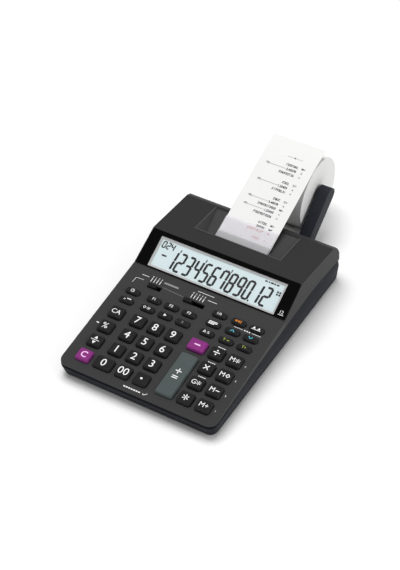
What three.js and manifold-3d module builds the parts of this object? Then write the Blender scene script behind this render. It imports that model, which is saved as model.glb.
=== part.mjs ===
// Printing desk calculator: a two-piece case with a sloped keypad, a tilted display, a printer
// that feeds paper out of the back hump, and two arms at the back that carry the paper roll.
//
// Millimetres, +Z up, +X to the user's right, +Y away from the user.
// Parts are drawn with Y measured from the front edge of the case and Z from the table.
// The finished group is then shifted back, so that its origin is the middle of its footprint.

import * as THREE from 'three';
import { mergeVertices } from 'three/addons/utils/BufferGeometryUtils.js';
import Module from 'manifold-3d';

const wasm = await Module();
wasm.setup();

// ---------------------------------------------------------------- driving dimensions

const CLEARANCE = 0.35;

const CASE = {
  width: 165,
  depth: 250,
  frontCorner: 8.5,
  rearCorner: 5.5,
  wall: 2.2,
  floorTop: 4.2,
  floorBottom: 2,
};
const FOOT = { radius: 6, inset: 15 };
// Below this height the front wall leans back, by this much at the bottom of the floor.
const UNDERCUT = { top: 13.5, depth: 5, reach: 60 };
// Posts for the case screws stand on the floor at each side, as [X, Y, top].
const SCREW_POST = { radius: 3.5, places: [[75.5, 14, 11.5], [75.5, 128, 27], [74, 222, 30]] };

// The parting line between the two halves, seen from the side as [Y, Z].
const SEAM = [[-5, 15.8], [40, 20.5], [80, 25.2], [134, 29.4], [180, 32], [205, 31.5], [250.5, 27.4]];

// The keypad, the display and the top of the hump are flat faces that follow each other.
const PANEL_FRONT_Z = 17.5;
const PANEL_TILT = THREE.MathUtils.degToRad(8.25);
const PANEL_LENGTH = 135.4;
const DISPLAY_TILT = THREE.MathUtils.degToRad(28.9);
const DISPLAY_LENGTH = 39.5;
const HUMP_TILT = THREE.MathUtils.degToRad(-5.06);
const HUMP_LENGTH = 64.6;
// Behind the hump the top rounds down in two facets, each [back, down, drawn in per mm of drop].
const HUMP_END_FACETS = [[6, 2.8, 0.4], [9, 6.4, 0.7]];
const REAR_TOP_Z = 29;

const WINDOW = { halfWidth: 79.2, low: 1.15, high: 38, thickness: 1.6, rebate: 2 };
const LCD = { halfWidth: 68.8, low: 2.2, high: 34.2, thickness: 3, depth: 2.2 };

const KEY = {
  height: 3.5,
  skirt: 2.7,
  flange: 1.2,
  flangeLip: 1.1,
  topInset: 1.2,
  holeGap: 0.35,
};
const LARGE_KEY = { width: 14.8, depth: 13.8, corner: 2.2 };
const SMALL_KEY = { width: 15, depth: 7.2, corner: 2.6, height: 2.8 };
const WIDE_KEY = { ...LARGE_KEY, width: 18.4 };
const ZERO_KEY = { ...LARGE_KEY, width: 19.4 };
const TALL_KEY = { ...LARGE_KEY, width: 18.4, depth: 51.3 };

const COLUMN_X = { a: -63.2, b: -39.7, c: -20.7, d: -1.6, e: 24.4, f: 44.8, g: 63.7 };
const LARGE_ROW = { first: 17, pitch: 18.75 };
const SMALL_ROW = { first: 90.3, pitch: 12.1 };

const SWITCH = {
  row: 116.2,
  knobWidth: 9,
  knobDepth: 4.4,
  knobHeight: 2.6,
  slotDepth: 5.1,
  slide: 1.2,
};
const MODE_SWITCH = { firstStop: -50.2, pitch: 2.3, stops: 3, rest: 0 };
const DECIMAL_SWITCH = { firstStop: -11, pitch: 3.15, stops: 5, rest: 0 };

const BOARD = { halfWidth: 70, low: 7, high: 120, depth: 8, thickness: 1.6 };

// The paper chute is a ramp that sinks into the hump and holds the paper exit at its front.
const CHUTE = {
  front: [190, 42],
  rear: [230.5, 49.4],
  halfWidth: 46,
  flare: 0.65,
  wall: 1.8,
  slotHalfWidth: 30.6,
  slotLength: 6.5,
  rearLip: 0.4,
};

const PAPER = { width: 57.5, thickness: 0.3 };
const ROLL = { y: 303, z: 47, radius: 38, core: 6.2 };
// Where the printed strip runs, as [Y, Z]: up from the platen, out of the chute, over the roll.
const STRIP_PATH = [
  [192.7, 29], [193.1, 38], [195, 43], [198.5, 45.2], [226, 56.6], [258, 69.9], [287.4, 82.9],
  [302, 88.2], [316, 92.4],
];
// The tear cover turns on a pin that lies [Y, Z] from the middle of the strip's bend at the exit.
const TEAR_COVER = {
  width: 57,
  thickness: 1.2,
  length: 25.5,
  pivotRadius: 0.9,
  pivotOffset: [-1, 2.3],
  pinEnd: 32.6,
  earInner: 30.9,
  earOuter: 33,
  earHalfDepth: 2.2,
  earRise: 2,
};

const ARM = {
  pivotY: 258.5,
  pivotZ: 17.5,
  inner: 31.3,
  outer: 43.6,
  rootRadius: 7.5,
  tipRadius: 9.5,
  tipForward: 4,
  hubRadius: 5.5,
  hubLength: 6,
  pinRadius: 3,
  earWidth: 4,
};

const PRINTER = {
  front: 177.5,
  rear: 231.5,
  bottom: 21,
  top: 38,
  bridgeTop: 29,
  halfWidth: 43,
  plate: 1.8,
};
const PLATEN = { y: 200, z: 31.5, radius: 6.5, shaft: 2.4 };
const INK_ROLLER = { y: 185, z: 31.5, radius: 5.5, shaft: 1.9 };

const BATTERY = {
  halfWidth: 34,
  front: 186,
  rear: 246.5,
  roof: 18.6,
  wall: 1.5,
  doorLip: 7,
  doorLap: 1,
  doorGap: 0.4,
};
const INLET = { halfWidth: 31, bottom: 29.3, top: 35.3 };
const ADAPTER = { x: 62, z: 15, radius: 4.2, depth: 12, housing: 6 };

const TOTAL_DEPTH = ROLL.y + ROLL.radius;

// ---------------------------------------------------------------- materials

function plastic(color, roughness = 0.55) {
  return new THREE.MeshStandardMaterial({ color, roughness, metalness: 0 });
}

const MATERIAL = {
  upperCase: plastic(0x464646, 0.6),
  lowerCase: plastic(0x2b2e36, 0.5),
  keyDark: plastic(0x1e1e1e, 0.45),
  keyPurple: plastic(0x8e3a82, 0.45),
  keyGrey: plastic(0x555c5c, 0.5),
  window: plastic(0x050505, 0.1),
  lcd: plastic(0xd6e4e6, 0.25),
  board: plastic(0x2f5b34, 0.6),
  chassis: new THREE.MeshStandardMaterial({ color: 0x9a9da0, roughness: 0.4, metalness: 1 }),
  rubber: plastic(0x242424, 0.85),
  ink: plastic(0x3a2c5c, 0.8),
  paper: plastic(0xf4f4f2, 0.85),
  arm: plastic(0x2a2d34, 0.5),
  clear: plastic(0xd9d9dc, 0.15),
};

// ---------------------------------------------------------------- solids

function toSolid(geometry) {
  geometry.deleteAttribute('normal');
  geometry.deleteAttribute('uv');
  const merged = mergeVertices(geometry, 1e-4);
  return new wasm.Manifold(new wasm.Mesh({
    numProp: 3,
    vertProperties: new Float32Array(merged.attributes.position.array),
    triVerts: new Uint32Array(merged.index.array),
  }));
}

function toMesh(name, solid, material) {
  const { vertProperties, triVerts } = solid.getMesh();
  const geometry = new THREE.BufferGeometry();
  geometry.setAttribute('position', new THREE.BufferAttribute(vertProperties, 3));
  geometry.setIndex(new THREE.BufferAttribute(triVerts, 1));
  geometry.computeVertexNormals();
  const mesh = new THREE.Mesh(geometry, material);
  mesh.name = name;
  return mesh;
}

function joined(solids) {
  return solids.reduce((whole, solid) => whole.add(solid));
}

function extruded(shape, length) {
  return new THREE.ExtrudeGeometry(shape, { depth: length, bevelEnabled: false, curveSegments: 3 });
}

function outline(points) {
  return new THREE.Shape(points.map(([a, b]) => new THREE.Vector2(a, b)));
}

function placed(geometry, xAxis, yAxis, zAxis, origin) {
  const matrix = new THREE.Matrix4().makeBasis(
    new THREE.Vector3(...xAxis), new THREE.Vector3(...yAxis), new THREE.Vector3(...zAxis));
  matrix.setPosition(...origin);
  return toSolid(geometry.applyMatrix4(matrix));
}

// A side view outline of [Y, Z] points, drawn out from x0 to x1.
function acrossX(points, x0, x1) {
  return placed(extruded(outline(points), x1 - x0), [0, 1, 0], [0, 0, 1], [1, 0, 0], [x0, 0, 0]);
}

// A plan view shape, drawn up from z0 to z1.
function upright(shape, z0, z1) {
  return placed(extruded(shape, z1 - z0), [1, 0, 0], [0, 1, 0], [0, 0, 1], [0, 0, z0]);
}

function box([x0, x1], [y0, y1], [z0, z1]) {
  const geometry = new THREE.BoxGeometry(x1 - x0, y1 - y0, z1 - z0);
  return toSolid(geometry.translate((x0 + x1) / 2, (y0 + y1) / 2, (z0 + z1) / 2));
}

// A round bar along X, centred on [y, z].
function barX(radius, x0, x1, [y, z], sides = 16) {
  const geometry = new THREE.CylinderGeometry(radius, radius, x1 - x0, sides);
  return toSolid(geometry.rotateZ(Math.PI / 2).translate((x0 + x1) / 2, y, z));
}

function roundedRectangle(width, depth, corner, segments = 1) {
  const [x, y] = [width / 2 - corner, depth / 2 - corner];
  const centres = [[x, y], [-x, y], [-x, -y], [x, -y]];
  const points = centres.flatMap(([cx, cy], quarter) => (
    Array.from({ length: segments + 1 }, (_, step) => {
      const angle = (quarter + step / segments) * Math.PI / 2;
      return [cx + corner * Math.cos(angle), cy + corner * Math.sin(angle)];
    })
  ));
  return outline(points);
}

// The case seen from above, drawn in from its widest outline by `inset`.
function casePlan(inset, segments = 5) {
  const x = CASE.width / 2 - inset;
  const shape = new THREE.Shape();
  const front = CASE.frontCorner - inset;
  const rear = CASE.rearCorner - inset;
  const arcs = [
    [x - front, inset + front, front, -0.5],
    [x - rear, CASE.depth - inset - rear, rear, 0],
    [-x + rear, CASE.depth - inset - rear, rear, 0.5],
    [-x + front, inset + front, front, 1],
  ];
  const points = arcs.flatMap(([cx, cy, radius, start]) => (
    Array.from({ length: segments + 1 }, (_, step) => {
      const angle = (start + 0.5 * step / segments) * Math.PI;
      return new THREE.Vector2(cx + radius * Math.cos(angle), cy + radius * Math.sin(angle));
    })
  ));
  shape.setFromPoints(points);
  return shape;
}

// Blocks whose outline shrinks or grows from level to level; each level is [height, inset].
function steppedBlock(width, depth, corner, levels) {
  const steps = levels.length - 1;
  const geometry = new THREE.ExtrudeGeometry(roundedRectangle(width, depth, corner), {
    depth: steps, steps, bevelEnabled: false,
  });
  const position = geometry.attributes.position;
  for (let i = 0; i < position.count; i += 1) {
    const [height, inset] = levels[Math.round(position.getZ(i))];
    position.setXYZ(i,
      position.getX(i) * (1 - 2 * inset / width),
      position.getY(i) * (1 - 2 * inset / depth),
      height);
  }
  return toSolid(geometry);
}

// ---------------------------------------------------------------- the three flat faces on top

function faceFrame(y, z, tilt) {
  return {
    origin: [0, y, z],
    matrix: new THREE.Matrix4().makeRotationX(tilt).setPosition(0, y, z),
    at: (along, height) => [
      y + along * Math.cos(tilt) - height * Math.sin(tilt),
      z + along * Math.sin(tilt) + height * Math.cos(tilt),
    ],
  };
}

const panel = faceFrame(0, PANEL_FRONT_Z, PANEL_TILT);
const display = faceFrame(...panel.at(PANEL_LENGTH, 0), DISPLAY_TILT);
const hump = faceFrame(...display.at(DISPLAY_LENGTH, 0), HUMP_TILT);

function onFace(solid, face) {
  return solid.transform(face.matrix.elements);
}

// The top of the case in side view, lowered by `drop` square to each face.
function topProfile(drop) {
  const humpEnd = hump.at(HUMP_LENGTH, -drop);
  const bend = drop * Math.tan((DISPLAY_TILT - PANEL_TILT) / 2);
  const crest = drop * Math.tan((HUMP_TILT - DISPLAY_TILT) / 2);
  return [
    panel.at(-10, -drop),
    panel.at(PANEL_LENGTH + bend, -drop),
    display.at(DISPLAY_LENGTH + crest, -drop),
    humpEnd,
    ...HUMP_END_FACETS.map(([back, down, draw]) => (
      [humpEnd[0] + back - drop * draw, humpEnd[1] - down])),
    [CASE.depth + 0.5 - drop, REAR_TOP_Z],
  ];
}

function seamShifted(shift) {
  return SEAM.map(([y, z]) => [y, z + shift]);
}

// ---------------------------------------------------------------- keys

const KEYS = [
  ...keyRow('large', 0, {
    a: ['clear', 'keyPurple'], b: ['0', 'keyDark', ZERO_KEY, -2.3], c: ['00'], d: ['point'],
    f: ['total'], g: ['memory_plus'],
  }),
  ...keyRow('large', 1, {
    a: ['markup'], b: ['1'], c: ['2'], d: ['3'], f: ['grand_total'], g: ['memory_minus'],
  }),
  ...keyRow('large', 2, {
    a: ['percent'], b: ['4'], c: ['5'], d: ['6'], f: ['multiply'], g: ['memory_subtotal'],
  }),
  ...keyRow('large', 3, {
    a: ['clear_all'], b: ['7'], c: ['8'], d: ['9'], e: ['minus', 'keyPurple', WIDE_KEY],
    f: ['divide'], g: ['memory_total'],
  }),
  {
    name: 'key_plus_equals',
    x: COLUMN_X.e,
    row: rowPlace(LARGE_ROW, 1),
    size: TALL_KEY,
    finish: 'keyGrey',
  },
  ...keyRow('small', 0, {
    a: ['item_count'], b: ['subtotal'], c: ['shift_right'], d: ['percent_change'],
    e: ['delta_percent'], f: ['tax_minus'], g: ['tax_plus'],
  }),
  ...keyRow('small', 1, {
    a: ['clock'], b: ['cost'], c: ['sell'], d: ['margin'], e: ['direct_print'],
    f: ['review_up'], g: ['review_down'],
  }),
  ...keyRow('small', 2, { e: ['print_on'], f: ['reprint'], g: ['paper_feed'] }),
];

function rowPlace(rows, index) {
  return rows.first + index * rows.pitch;
}

function keyRow(kind, index, columns) {
  const large = kind === 'large';
  return Object.entries(columns).map(([column, [label, finish, size, shift]]) => ({
    name: `key_${label}`,
    x: COLUMN_X[column] + (shift ?? 0),
    row: rowPlace(large ? LARGE_ROW : SMALL_ROW, index),
    size: size ?? (large ? LARGE_KEY : SMALL_KEY),
    finish: finish ?? 'keyDark',
  }));
}

// A key cap: tapered above the panel, straight through it, with a flange that stops it below.
function keySolid({ width, depth, corner, height = KEY.height }) {
  const flangeTop = -KEY.skirt;
  return steppedBlock(width, depth, corner, [
    [flangeTop - KEY.flange, -KEY.flangeLip],
    [flangeTop, -KEY.flangeLip],
    [flangeTop, 0],
    [height * 0.35, 0],
    [height, KEY.topInset],
  ]);
}

function keyHole({ x, row, size }) {
  const shape = roundedRectangle(
    size.width + 2 * KEY.holeGap, size.depth + 2 * KEY.holeGap, size.corner);
  return upright(shape, -5, 5).translate([x, row, 0]);
}

// ---------------------------------------------------------------- slide switches

function stopPlace({ firstStop, pitch }, stop) {
  return firstStop + stop * pitch;
}

function switchSlot(kind) {
  const reach = SWITCH.knobWidth / 2 + CLEARANCE;
  const low = stopPlace(kind, 0) - reach;
  const high = stopPlace(kind, kind.stops - 1) + reach;
  return box([low, high],
    [SWITCH.row - SWITCH.slotDepth / 2, SWITCH.row + SWITCH.slotDepth / 2], [-5, 5]);
}

function switchKnob(kind) {
  const x = stopPlace(kind, kind.rest);
  const half = SWITCH.knobWidth / 2;
  const cap = steppedBlock(SWITCH.knobWidth, SWITCH.knobDepth, 0.8, [
    [-KEY.skirt - SWITCH.slide, 0], [1, 0], [SWITCH.knobHeight, 0.5],
  ]).translate([x, SWITCH.row, 0]);
  const slide = box([x - half, x + half],
    [SWITCH.row - SWITCH.slotDepth, SWITCH.row + SWITCH.slotDepth],
    [-KEY.skirt - SWITCH.slide, -KEY.skirt]);
  return cap.add(slide);
}

// ---------------------------------------------------------------- case

function chuteWedge(grow, floorDrop, rise) {
  const low = -16;
  const topX = CHUTE.halfWidth + grow + CHUTE.flare * rise;
  const lowX = CHUTE.halfWidth + grow + CHUTE.flare * low;
  const trapezoid = outline([[-lowX, low], [lowX, low], [topX, rise], [-topX, rise]]);
  const start = (CHUTE.front[0] - grow - hump.origin[1]) / Math.cos(HUMP_TILT);
  const lip = grow > 0 ? CHUTE.rearLip + grow - CHUTE.wall : 0;
  const end = (CHUTE.rear[0] + lip - hump.origin[1]) / Math.cos(HUMP_TILT);
  const bar = placed(extruded(trapezoid, end - start),
    [1, 0, 0], [0, 0, 1], [0, -1, 0], [0, end, 0]);
  const [frontY, frontZ] = CHUTE.front;
  const [rearY, rearZ] = CHUTE.rear;
  const slope = (rearZ - frontZ) / (rearY - frontY);
  const floorAt = (y) => frontZ + (y - frontY) * slope - floorDrop;
  const above = acrossX([
    [frontY - 30, floorAt(frontY - 30)], [rearY + 30, floorAt(rearY + 30)],
    [rearY + 30, 90], [frontY - 30, 90],
  ], -70, 70);
  return onFace(bar, hump).intersect(above);
}

function upperCase() {
  const { width, depth, wall } = CASE;
  const seam = seamShifted(0.15);
  const side = width / 2 + 1;
  const outside = upright(casePlan(0), 0, 80)
    .intersect(acrossX([...seam, ...topProfile(0).reverse()], -side, side));
  const inside = upright(casePlan(wall), 0, 80)
    .intersect(acrossX([[-5, 0], [depth + 5, 0], ...topProfile(wall).reverse()], -side, side));
  const windowRebate = box([-WINDOW.halfWidth - CLEARANCE, WINDOW.halfWidth + CLEARANCE],
    [WINDOW.low - CLEARANCE, WINDOW.high + CLEARANCE], [-WINDOW.rebate, 8]);
  const lcdOpening = box([-LCD.halfWidth - 0.7, LCD.halfWidth + 0.7],
    [LCD.low - 0.6, LCD.high + 0.6], [-8, 1]);
  const panelCuts = joined([
    ...KEYS.map(keyHole), switchSlot(MODE_SWITCH), switchSlot(DECIMAL_SWITCH),
  ]);
  const paperInlet = box([-INLET.halfWidth, INLET.halfWidth],
    [depth - 12, depth + 5], [INLET.bottom, INLET.top]);
  return outside
    .subtract(inside)
    .subtract(onFace(panelCuts, panel))
    .subtract(onFace(windowRebate.add(lcdOpening), display))
    .subtract(chuteWedge(CHUTE.wall + CLEARANCE, CHUTE.wall + CLEARANCE, 6))
    .subtract(paperInlet);
}

// A round bar that stands upright at [x, y].
function barZ(radius, z0, z1, [x, y], sides = 10) {
  const geometry = new THREE.CylinderGeometry(radius, radius, z1 - z0, sides);
  return toSolid(geometry.rotateX(Math.PI / 2).translate(x, y, (z0 + z1) / 2));
}

// Ears at the back of the case carry the pins that the two roll arms turn on.
function armHinge(side) {
  const { pivotY, pivotZ, outer, pinRadius, rootRadius, earWidth } = ARM;
  const inner = outer + CLEARANCE;
  const xs = [side * inner, side * (inner + earWidth)].sort((a, b) => a - b);
  const pin = [side * (ARM.inner + 1), side * (inner + 1)].sort((a, b) => a - b);
  const ear = box(xs, [CASE.depth - 1, pivotY], [pivotZ - rootRadius, pivotZ + rootRadius]);
  return joined([
    ear,
    barX(rootRadius, ...xs, [pivotY, pivotZ], 16),
    barX(pinRadius, ...pin, [pivotY, pivotZ], 12),
  ]);
}

// The case's plan raised from `bottom`, with its rounded front leaning back towards the table.
function leaningPlan(inset, bottom) {
  const { top, depth, reach } = UNDERCUT;
  const foot = upright(casePlan(inset), bottom, top).warp((point) => {
    const low = Math.max(0, 1 - point[2] / top);
    const near = Math.min(1, Math.max(0, 1 - point[1] / reach));
    point[1] += depth * low * near;
  });
  return foot.add(upright(casePlan(inset), top, 80));
}

function lowerCase() {
  const { width, depth, wall, floorTop, floorBottom } = CASE;
  const seam = seamShifted(-0.15);
  const side = width / 2 + 1;
  const outside = leaningPlan(0, floorBottom).intersect(acrossX([
    [-5, 0], [depth + 5, 0], ...seam.reverse(),
  ], -side, side));
  const inside = leaningPlan(wall, floorTop);
  const feet = [-1, 1].flatMap((end) => [FOOT.inset, depth - FOOT.inset].map((y) => (
    barZ(FOOT.radius, 0, floorBottom + 0.5, [end * (width / 2 - FOOT.inset), y], 20)
  )));
  const posts = [-1, 1].flatMap((end) => SCREW_POST.places.map(([x, y, top]) => (
    barZ(SCREW_POST.radius, floorBottom + 1, top, [end * x, y])
  )));
  const { halfWidth, front, rear, roof, wall: bayWall, doorLip, doorLap } = BATTERY;
  const bayOutside = box([-halfWidth - bayWall, halfWidth + bayWall],
    [front - bayWall, rear + bayWall], [floorTop - 0.5, roof + bayWall]);
  const bayInside = box([-halfWidth, halfWidth], [front, rear], [0, roof]);
  const doorSide = halfWidth + doorLap + CLEARANCE;
  const doorGap = [
    box([-doorSide, doorSide], [front - doorLap - CLEARANCE, depth + 5], [0, floorTop + CLEARANCE]),
    box([-doorSide, doorSide], [rear - CLEARANCE, depth + 5], [0, doorLip + CLEARANCE]),
  ];
  const inlet = box([-INLET.halfWidth, INLET.halfWidth],
    [depth - 12, depth + 5], [INLET.bottom, INLET.top]);
  const jackHole = toSolid(
    new THREE.CylinderGeometry(ADAPTER.radius, ADAPTER.radius, ADAPTER.depth, 16)
      .translate(ADAPTER.x, depth + 1 - ADAPTER.depth / 2, ADAPTER.z));
  const jackBody = box([ADAPTER.x - ADAPTER.housing, ADAPTER.x + ADAPTER.housing],
    [depth - ADAPTER.depth - 1, depth - wall + 0.5],
    [ADAPTER.z - ADAPTER.housing, ADAPTER.z + ADAPTER.housing]);
  return joined([outside.subtract(inside), ...feet, ...posts, jackBody, armHinge(-1), armHinge(1)])
    .add(bayOutside)
    .subtract(joined([bayInside, ...doorGap, inlet, jackHole]));
}

function batteryDoor() {
  const { halfWidth, front, rear, doorLip, doorLap, doorGap } = BATTERY;
  const { depth, floorBottom, floorTop } = CASE;
  const xs = [-halfWidth - doorLap, halfWidth + doorLap];
  const plate = box(xs, [front - doorLap, depth], [floorBottom, floorTop]);
  const lip = box(xs, [rear + doorLap + doorGap, depth], [floorTop - 0.5, doorLip]);
  return plate.add(lip);
}

// ---------------------------------------------------------------- display and electronics

function slabOnFace(halfWidth, low, high, top, thickness, face) {
  return onFace(box([-halfWidth, halfWidth], [low, high], [top - thickness, top]), face);
}

// ---------------------------------------------------------------- printer

function printerFrame() {
  const { front, rear, bottom, top, bridgeTop, halfWidth, plate } = PRINTER;
  const base = box([-halfWidth, halfWidth], [front, rear], [bottom, bottom + plate]);
  const sides = [-1, 1].map((side) => {
    const xs = [side * halfWidth, side * (halfWidth - plate)].sort((a, b) => a - b);
    return box(xs, [front, rear], [bottom, top]);
  });
  const bridge = box([-halfWidth, halfWidth], [front, front + plate], [bottom, bridgeTop]);
  const bores = [PLATEN, INK_ROLLER].map(({ y, z, shaft }) => (
    barX(shaft + CLEARANCE, -halfWidth - 2, halfWidth + 2, [y, z])
  ));
  return joined([base, ...sides, bridge]).subtract(joined(bores));
}

function roller({ y, z, radius, shaft }, halfLength) {
  return barX(radius, -halfLength, halfLength, [y, z], 24)
    .add(barX(shaft, -PRINTER.halfWidth - 1.5, PRINTER.halfWidth + 1.5, [y, z]));
}

function tearCoverPivot() {
  const [bend, exit] = STRIP_PATH.slice(2, 4);
  const [back, up] = TEAR_COVER.pivotOffset;
  return [(bend[0] + exit[0]) / 2 + back, (bend[1] + exit[1]) / 2 + up];
}

function printerCover() {
  const tray = chuteWedge(CHUTE.wall, CHUTE.wall, 0).subtract(chuteWedge(0, 0, 6));
  const [y, z] = tearCoverPivot();
  const slot = box([-CHUTE.slotHalfWidth, CHUTE.slotHalfWidth],
    [CHUTE.front[0] + 0.5, CHUTE.front[0] + 0.5 + CHUTE.slotLength], [30, z - 1]);
  const { earInner, earOuter, earHalfDepth, earRise, pivotRadius } = TEAR_COVER;
  const ears = [-1, 1].map((side) => {
    const xs = [side * earInner, side * earOuter].sort((a, b) => a - b);
    return box(xs, [y - earHalfDepth, y + earHalfDepth], [CHUTE.front[1] - 0.5, z + earRise]);
  });
  const bores = barX(pivotRadius + CLEARANCE, -earOuter - 3, earOuter + 3, [y, z], 10);
  return tray.subtract(slot).add(joined(ears)).subtract(bores);
}

function tearCover() {
  const { width, thickness, length, pivotRadius, pinEnd } = TEAR_COVER;
  const [exit, ahead] = STRIP_PATH.slice(3, 5);
  const tilt = Math.atan2(ahead[1] - exit[1], ahead[0] - exit[0]);
  const plate = box([-width / 2, width / 2], [-1, length], [-thickness / 2, thickness / 2]);
  const pivot = tearCoverPivot();
  return onFace(plate, faceFrame(...pivot, tilt)).add(barX(pivotRadius, -pinEnd, pinEnd, pivot, 10));
}

// ---------------------------------------------------------------- paper and its holder

function paperRoll() {
  return barX(ROLL.radius, -PAPER.width / 2, PAPER.width / 2, [ROLL.y, ROLL.z], 48)
    .subtract(barX(ROLL.core, -PAPER.width, PAPER.width, [ROLL.y, ROLL.z], 20));
}

function paperStrip() {
  const lower = STRIP_PATH.map(([y, z], i) => {
    const [y0, z0] = STRIP_PATH[Math.max(i - 1, 0)];
    const [y1, z1] = STRIP_PATH[Math.min(i + 1, STRIP_PATH.length - 1)];
    const length = Math.hypot(y1 - y0, z1 - z0);
    return [y + (z1 - z0) / length * PAPER.thickness, z - (y1 - y0) / length * PAPER.thickness];
  });
  return acrossX([...lower, ...[...STRIP_PATH].reverse()], -PAPER.width / 2, PAPER.width / 2);
}

// An arm: a flat bar with a round root on the hinge pin and a round tip that carries the roll's hub.
function rollArm(side) {
  const { pivotY, pivotZ, inner, outer, rootRadius, tipRadius, tipForward } = ARM;
  const direction = new THREE.Vector2(ROLL.y - pivotY, ROLL.z - pivotZ).normalize();
  const root = new THREE.Vector2(pivotY, pivotZ);
  const tip = new THREE.Vector2(ROLL.y - direction.y * tipForward, ROLL.z + direction.x * tipForward);
  const heading = Math.atan2(tip.y - root.y, tip.x - root.x);
  const arc = (centre, radius, start) => Array.from({ length: 9 }, (_, step) => {
    const angle = heading + start + Math.PI * step / 8;
    return [centre.x + radius * Math.cos(angle), centre.y + radius * Math.sin(angle)];
  });
  const profile = [...arc(tip, tipRadius, -Math.PI / 2), ...arc(root, rootRadius, Math.PI / 2)];
  const xs = [side * inner, side * outer].sort((a, b) => a - b);
  const hub = [side * (inner + 1), side * (PAPER.width / 2 - ARM.hubLength)].sort((a, b) => a - b);
  return acrossX(profile, ...xs)
    .add(barX(ARM.hubRadius, ...hub, [ROLL.y, ROLL.z], 16))
    .subtract(barX(ARM.pinRadius + CLEARANCE, -90, 90, [pivotY, pivotZ], 12));
}

// ---------------------------------------------------------------- assembly

const calculator = new THREE.Group();
calculator.position.y = -TOTAL_DEPTH / 2;

const keypad = new THREE.Group();
keypad.position.set(...panel.origin);
keypad.rotation.x = PANEL_TILT;
calculator.add(keypad);

for (const key of KEYS) {
  const mesh = toMesh(key.name, keySolid(key.size), MATERIAL[key.finish]);
  mesh.position.set(key.x, key.row, 0);
  keypad.add(mesh);
}
keypad.add(
  toMesh('mode_switch_knob', switchKnob(MODE_SWITCH), MATERIAL.keyDark),
  toMesh('decimal_switch_knob', switchKnob(DECIMAL_SWITCH), MATERIAL.keyDark),
);

calculator.add(
  toMesh('lower_case', lowerCase(), MATERIAL.lowerCase),
  toMesh('upper_case', upperCase(), MATERIAL.upperCase),
  toMesh('battery_door', batteryDoor(), MATERIAL.lowerCase),
  toMesh('display_window', slabOnFace(
    WINDOW.halfWidth, WINDOW.low, WINDOW.high, -0.1, WINDOW.thickness, display), MATERIAL.window),
  toMesh('lcd_panel', slabOnFace(
    LCD.halfWidth, LCD.low, LCD.high, -LCD.depth, LCD.thickness, display), MATERIAL.lcd),
  toMesh('circuit_board', slabOnFace(
    BOARD.halfWidth, BOARD.low, BOARD.high, -BOARD.depth, BOARD.thickness, panel), MATERIAL.board),
  toMesh('printer_frame', printerFrame(), MATERIAL.chassis),
  toMesh('platen_roller', roller(PLATEN, 31), MATERIAL.rubber),
  toMesh('ink_roller', roller(INK_ROLLER, 29), MATERIAL.ink),
  toMesh('printer_cover', printerCover(), MATERIAL.upperCase),
  toMesh('tear_cover', tearCover(), MATERIAL.clear),
  toMesh('paper_roll', paperRoll(), MATERIAL.paper),
  toMesh('paper_strip', paperStrip(), MATERIAL.paper),
  toMesh('roll_arm_left', rollArm(-1), MATERIAL.arm),
  toMesh('roll_arm_right', rollArm(1), MATERIAL.arm),
);

export default calculator;
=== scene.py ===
from math import atan2, cos, hypot, pi, radians, sin

import bmesh
import bpy
from mathutils import Matrix, Vector


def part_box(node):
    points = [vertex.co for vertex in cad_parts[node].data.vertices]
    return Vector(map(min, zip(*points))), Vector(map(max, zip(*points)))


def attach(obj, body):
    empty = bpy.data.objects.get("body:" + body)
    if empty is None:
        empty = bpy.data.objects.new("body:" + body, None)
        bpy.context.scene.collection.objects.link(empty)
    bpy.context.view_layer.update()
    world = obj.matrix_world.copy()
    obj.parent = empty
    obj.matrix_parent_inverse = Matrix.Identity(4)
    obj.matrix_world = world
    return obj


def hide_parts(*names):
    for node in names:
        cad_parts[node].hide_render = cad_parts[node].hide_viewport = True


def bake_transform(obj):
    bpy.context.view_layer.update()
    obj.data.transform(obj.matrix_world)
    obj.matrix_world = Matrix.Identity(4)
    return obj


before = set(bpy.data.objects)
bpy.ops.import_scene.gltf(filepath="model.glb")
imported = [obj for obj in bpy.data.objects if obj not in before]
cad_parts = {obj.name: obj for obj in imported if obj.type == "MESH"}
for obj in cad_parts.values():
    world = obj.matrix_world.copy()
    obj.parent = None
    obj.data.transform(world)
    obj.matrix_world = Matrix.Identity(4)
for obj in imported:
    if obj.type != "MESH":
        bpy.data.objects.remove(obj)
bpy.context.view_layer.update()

bl_info = {
    "name": "Printing desk calculator",
    "version": (1, 0, 0),
    "blender": (4, 5, 0),
    "location": "3D View > Sidebar > Calculator",
    "description": "Builds the finished pieces of a printing desk calculator around its packed frame",
    "category": "Object",
}

# Shapes are drawn in millimetres, with Y from the case's front edge and Z from the table.
MM = 0.001
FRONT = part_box("lower_case")[0].y / MM
PLACE = Matrix.Scale(MM, 4) @ Matrix.Translation((0, FRONT, 0))


# ---------------------------------------------------------------- sizes

CASE_HALF, CASE_DEPTH = 82.5, 250.0
SEAM = ((-5, 15.8), (40, 20.5), (80, 25.2), (134, 29.4), (180, 32), (205, 31.5), (250.5, 27.4))
SIDE_DRAFT = 0.06
FRONT_CORNER, REAR_CORNER = 8.5, 5.5
SEAM_GROOVE = 1.3
UNDERCUT_TOP, UNDERCUT_DEPTH, UNDERCUT_REACH = 13.5, 5.0, 60.0

KEY_COLUMNS = {"a": -63.2, "b": -39.7, "c": -20.7, "d": -1.6, "e": 24.4, "f": 44.8, "g": 63.7}
LARGE_FIRST, LARGE_PITCH = 17.0, 18.75
SMALL_FIRST, SMALL_PITCH = 90.3, 12.1
LARGE_ROWS = (
    "clear 0 00 point . total memory_plus",
    "markup 1 2 3 plus_equals grand_total memory_minus",
    "percent 4 5 6 . multiply memory_subtotal",
    "clear_all 7 8 9 minus divide memory_total",
)
SMALL_ROWS = (
    "item_count subtotal shift_right percent_change delta_percent tax_minus tax_plus",
    "clock cost sell margin direct_print review_up review_down",
    ". . . . print_on reprint paper_feed",
)
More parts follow.
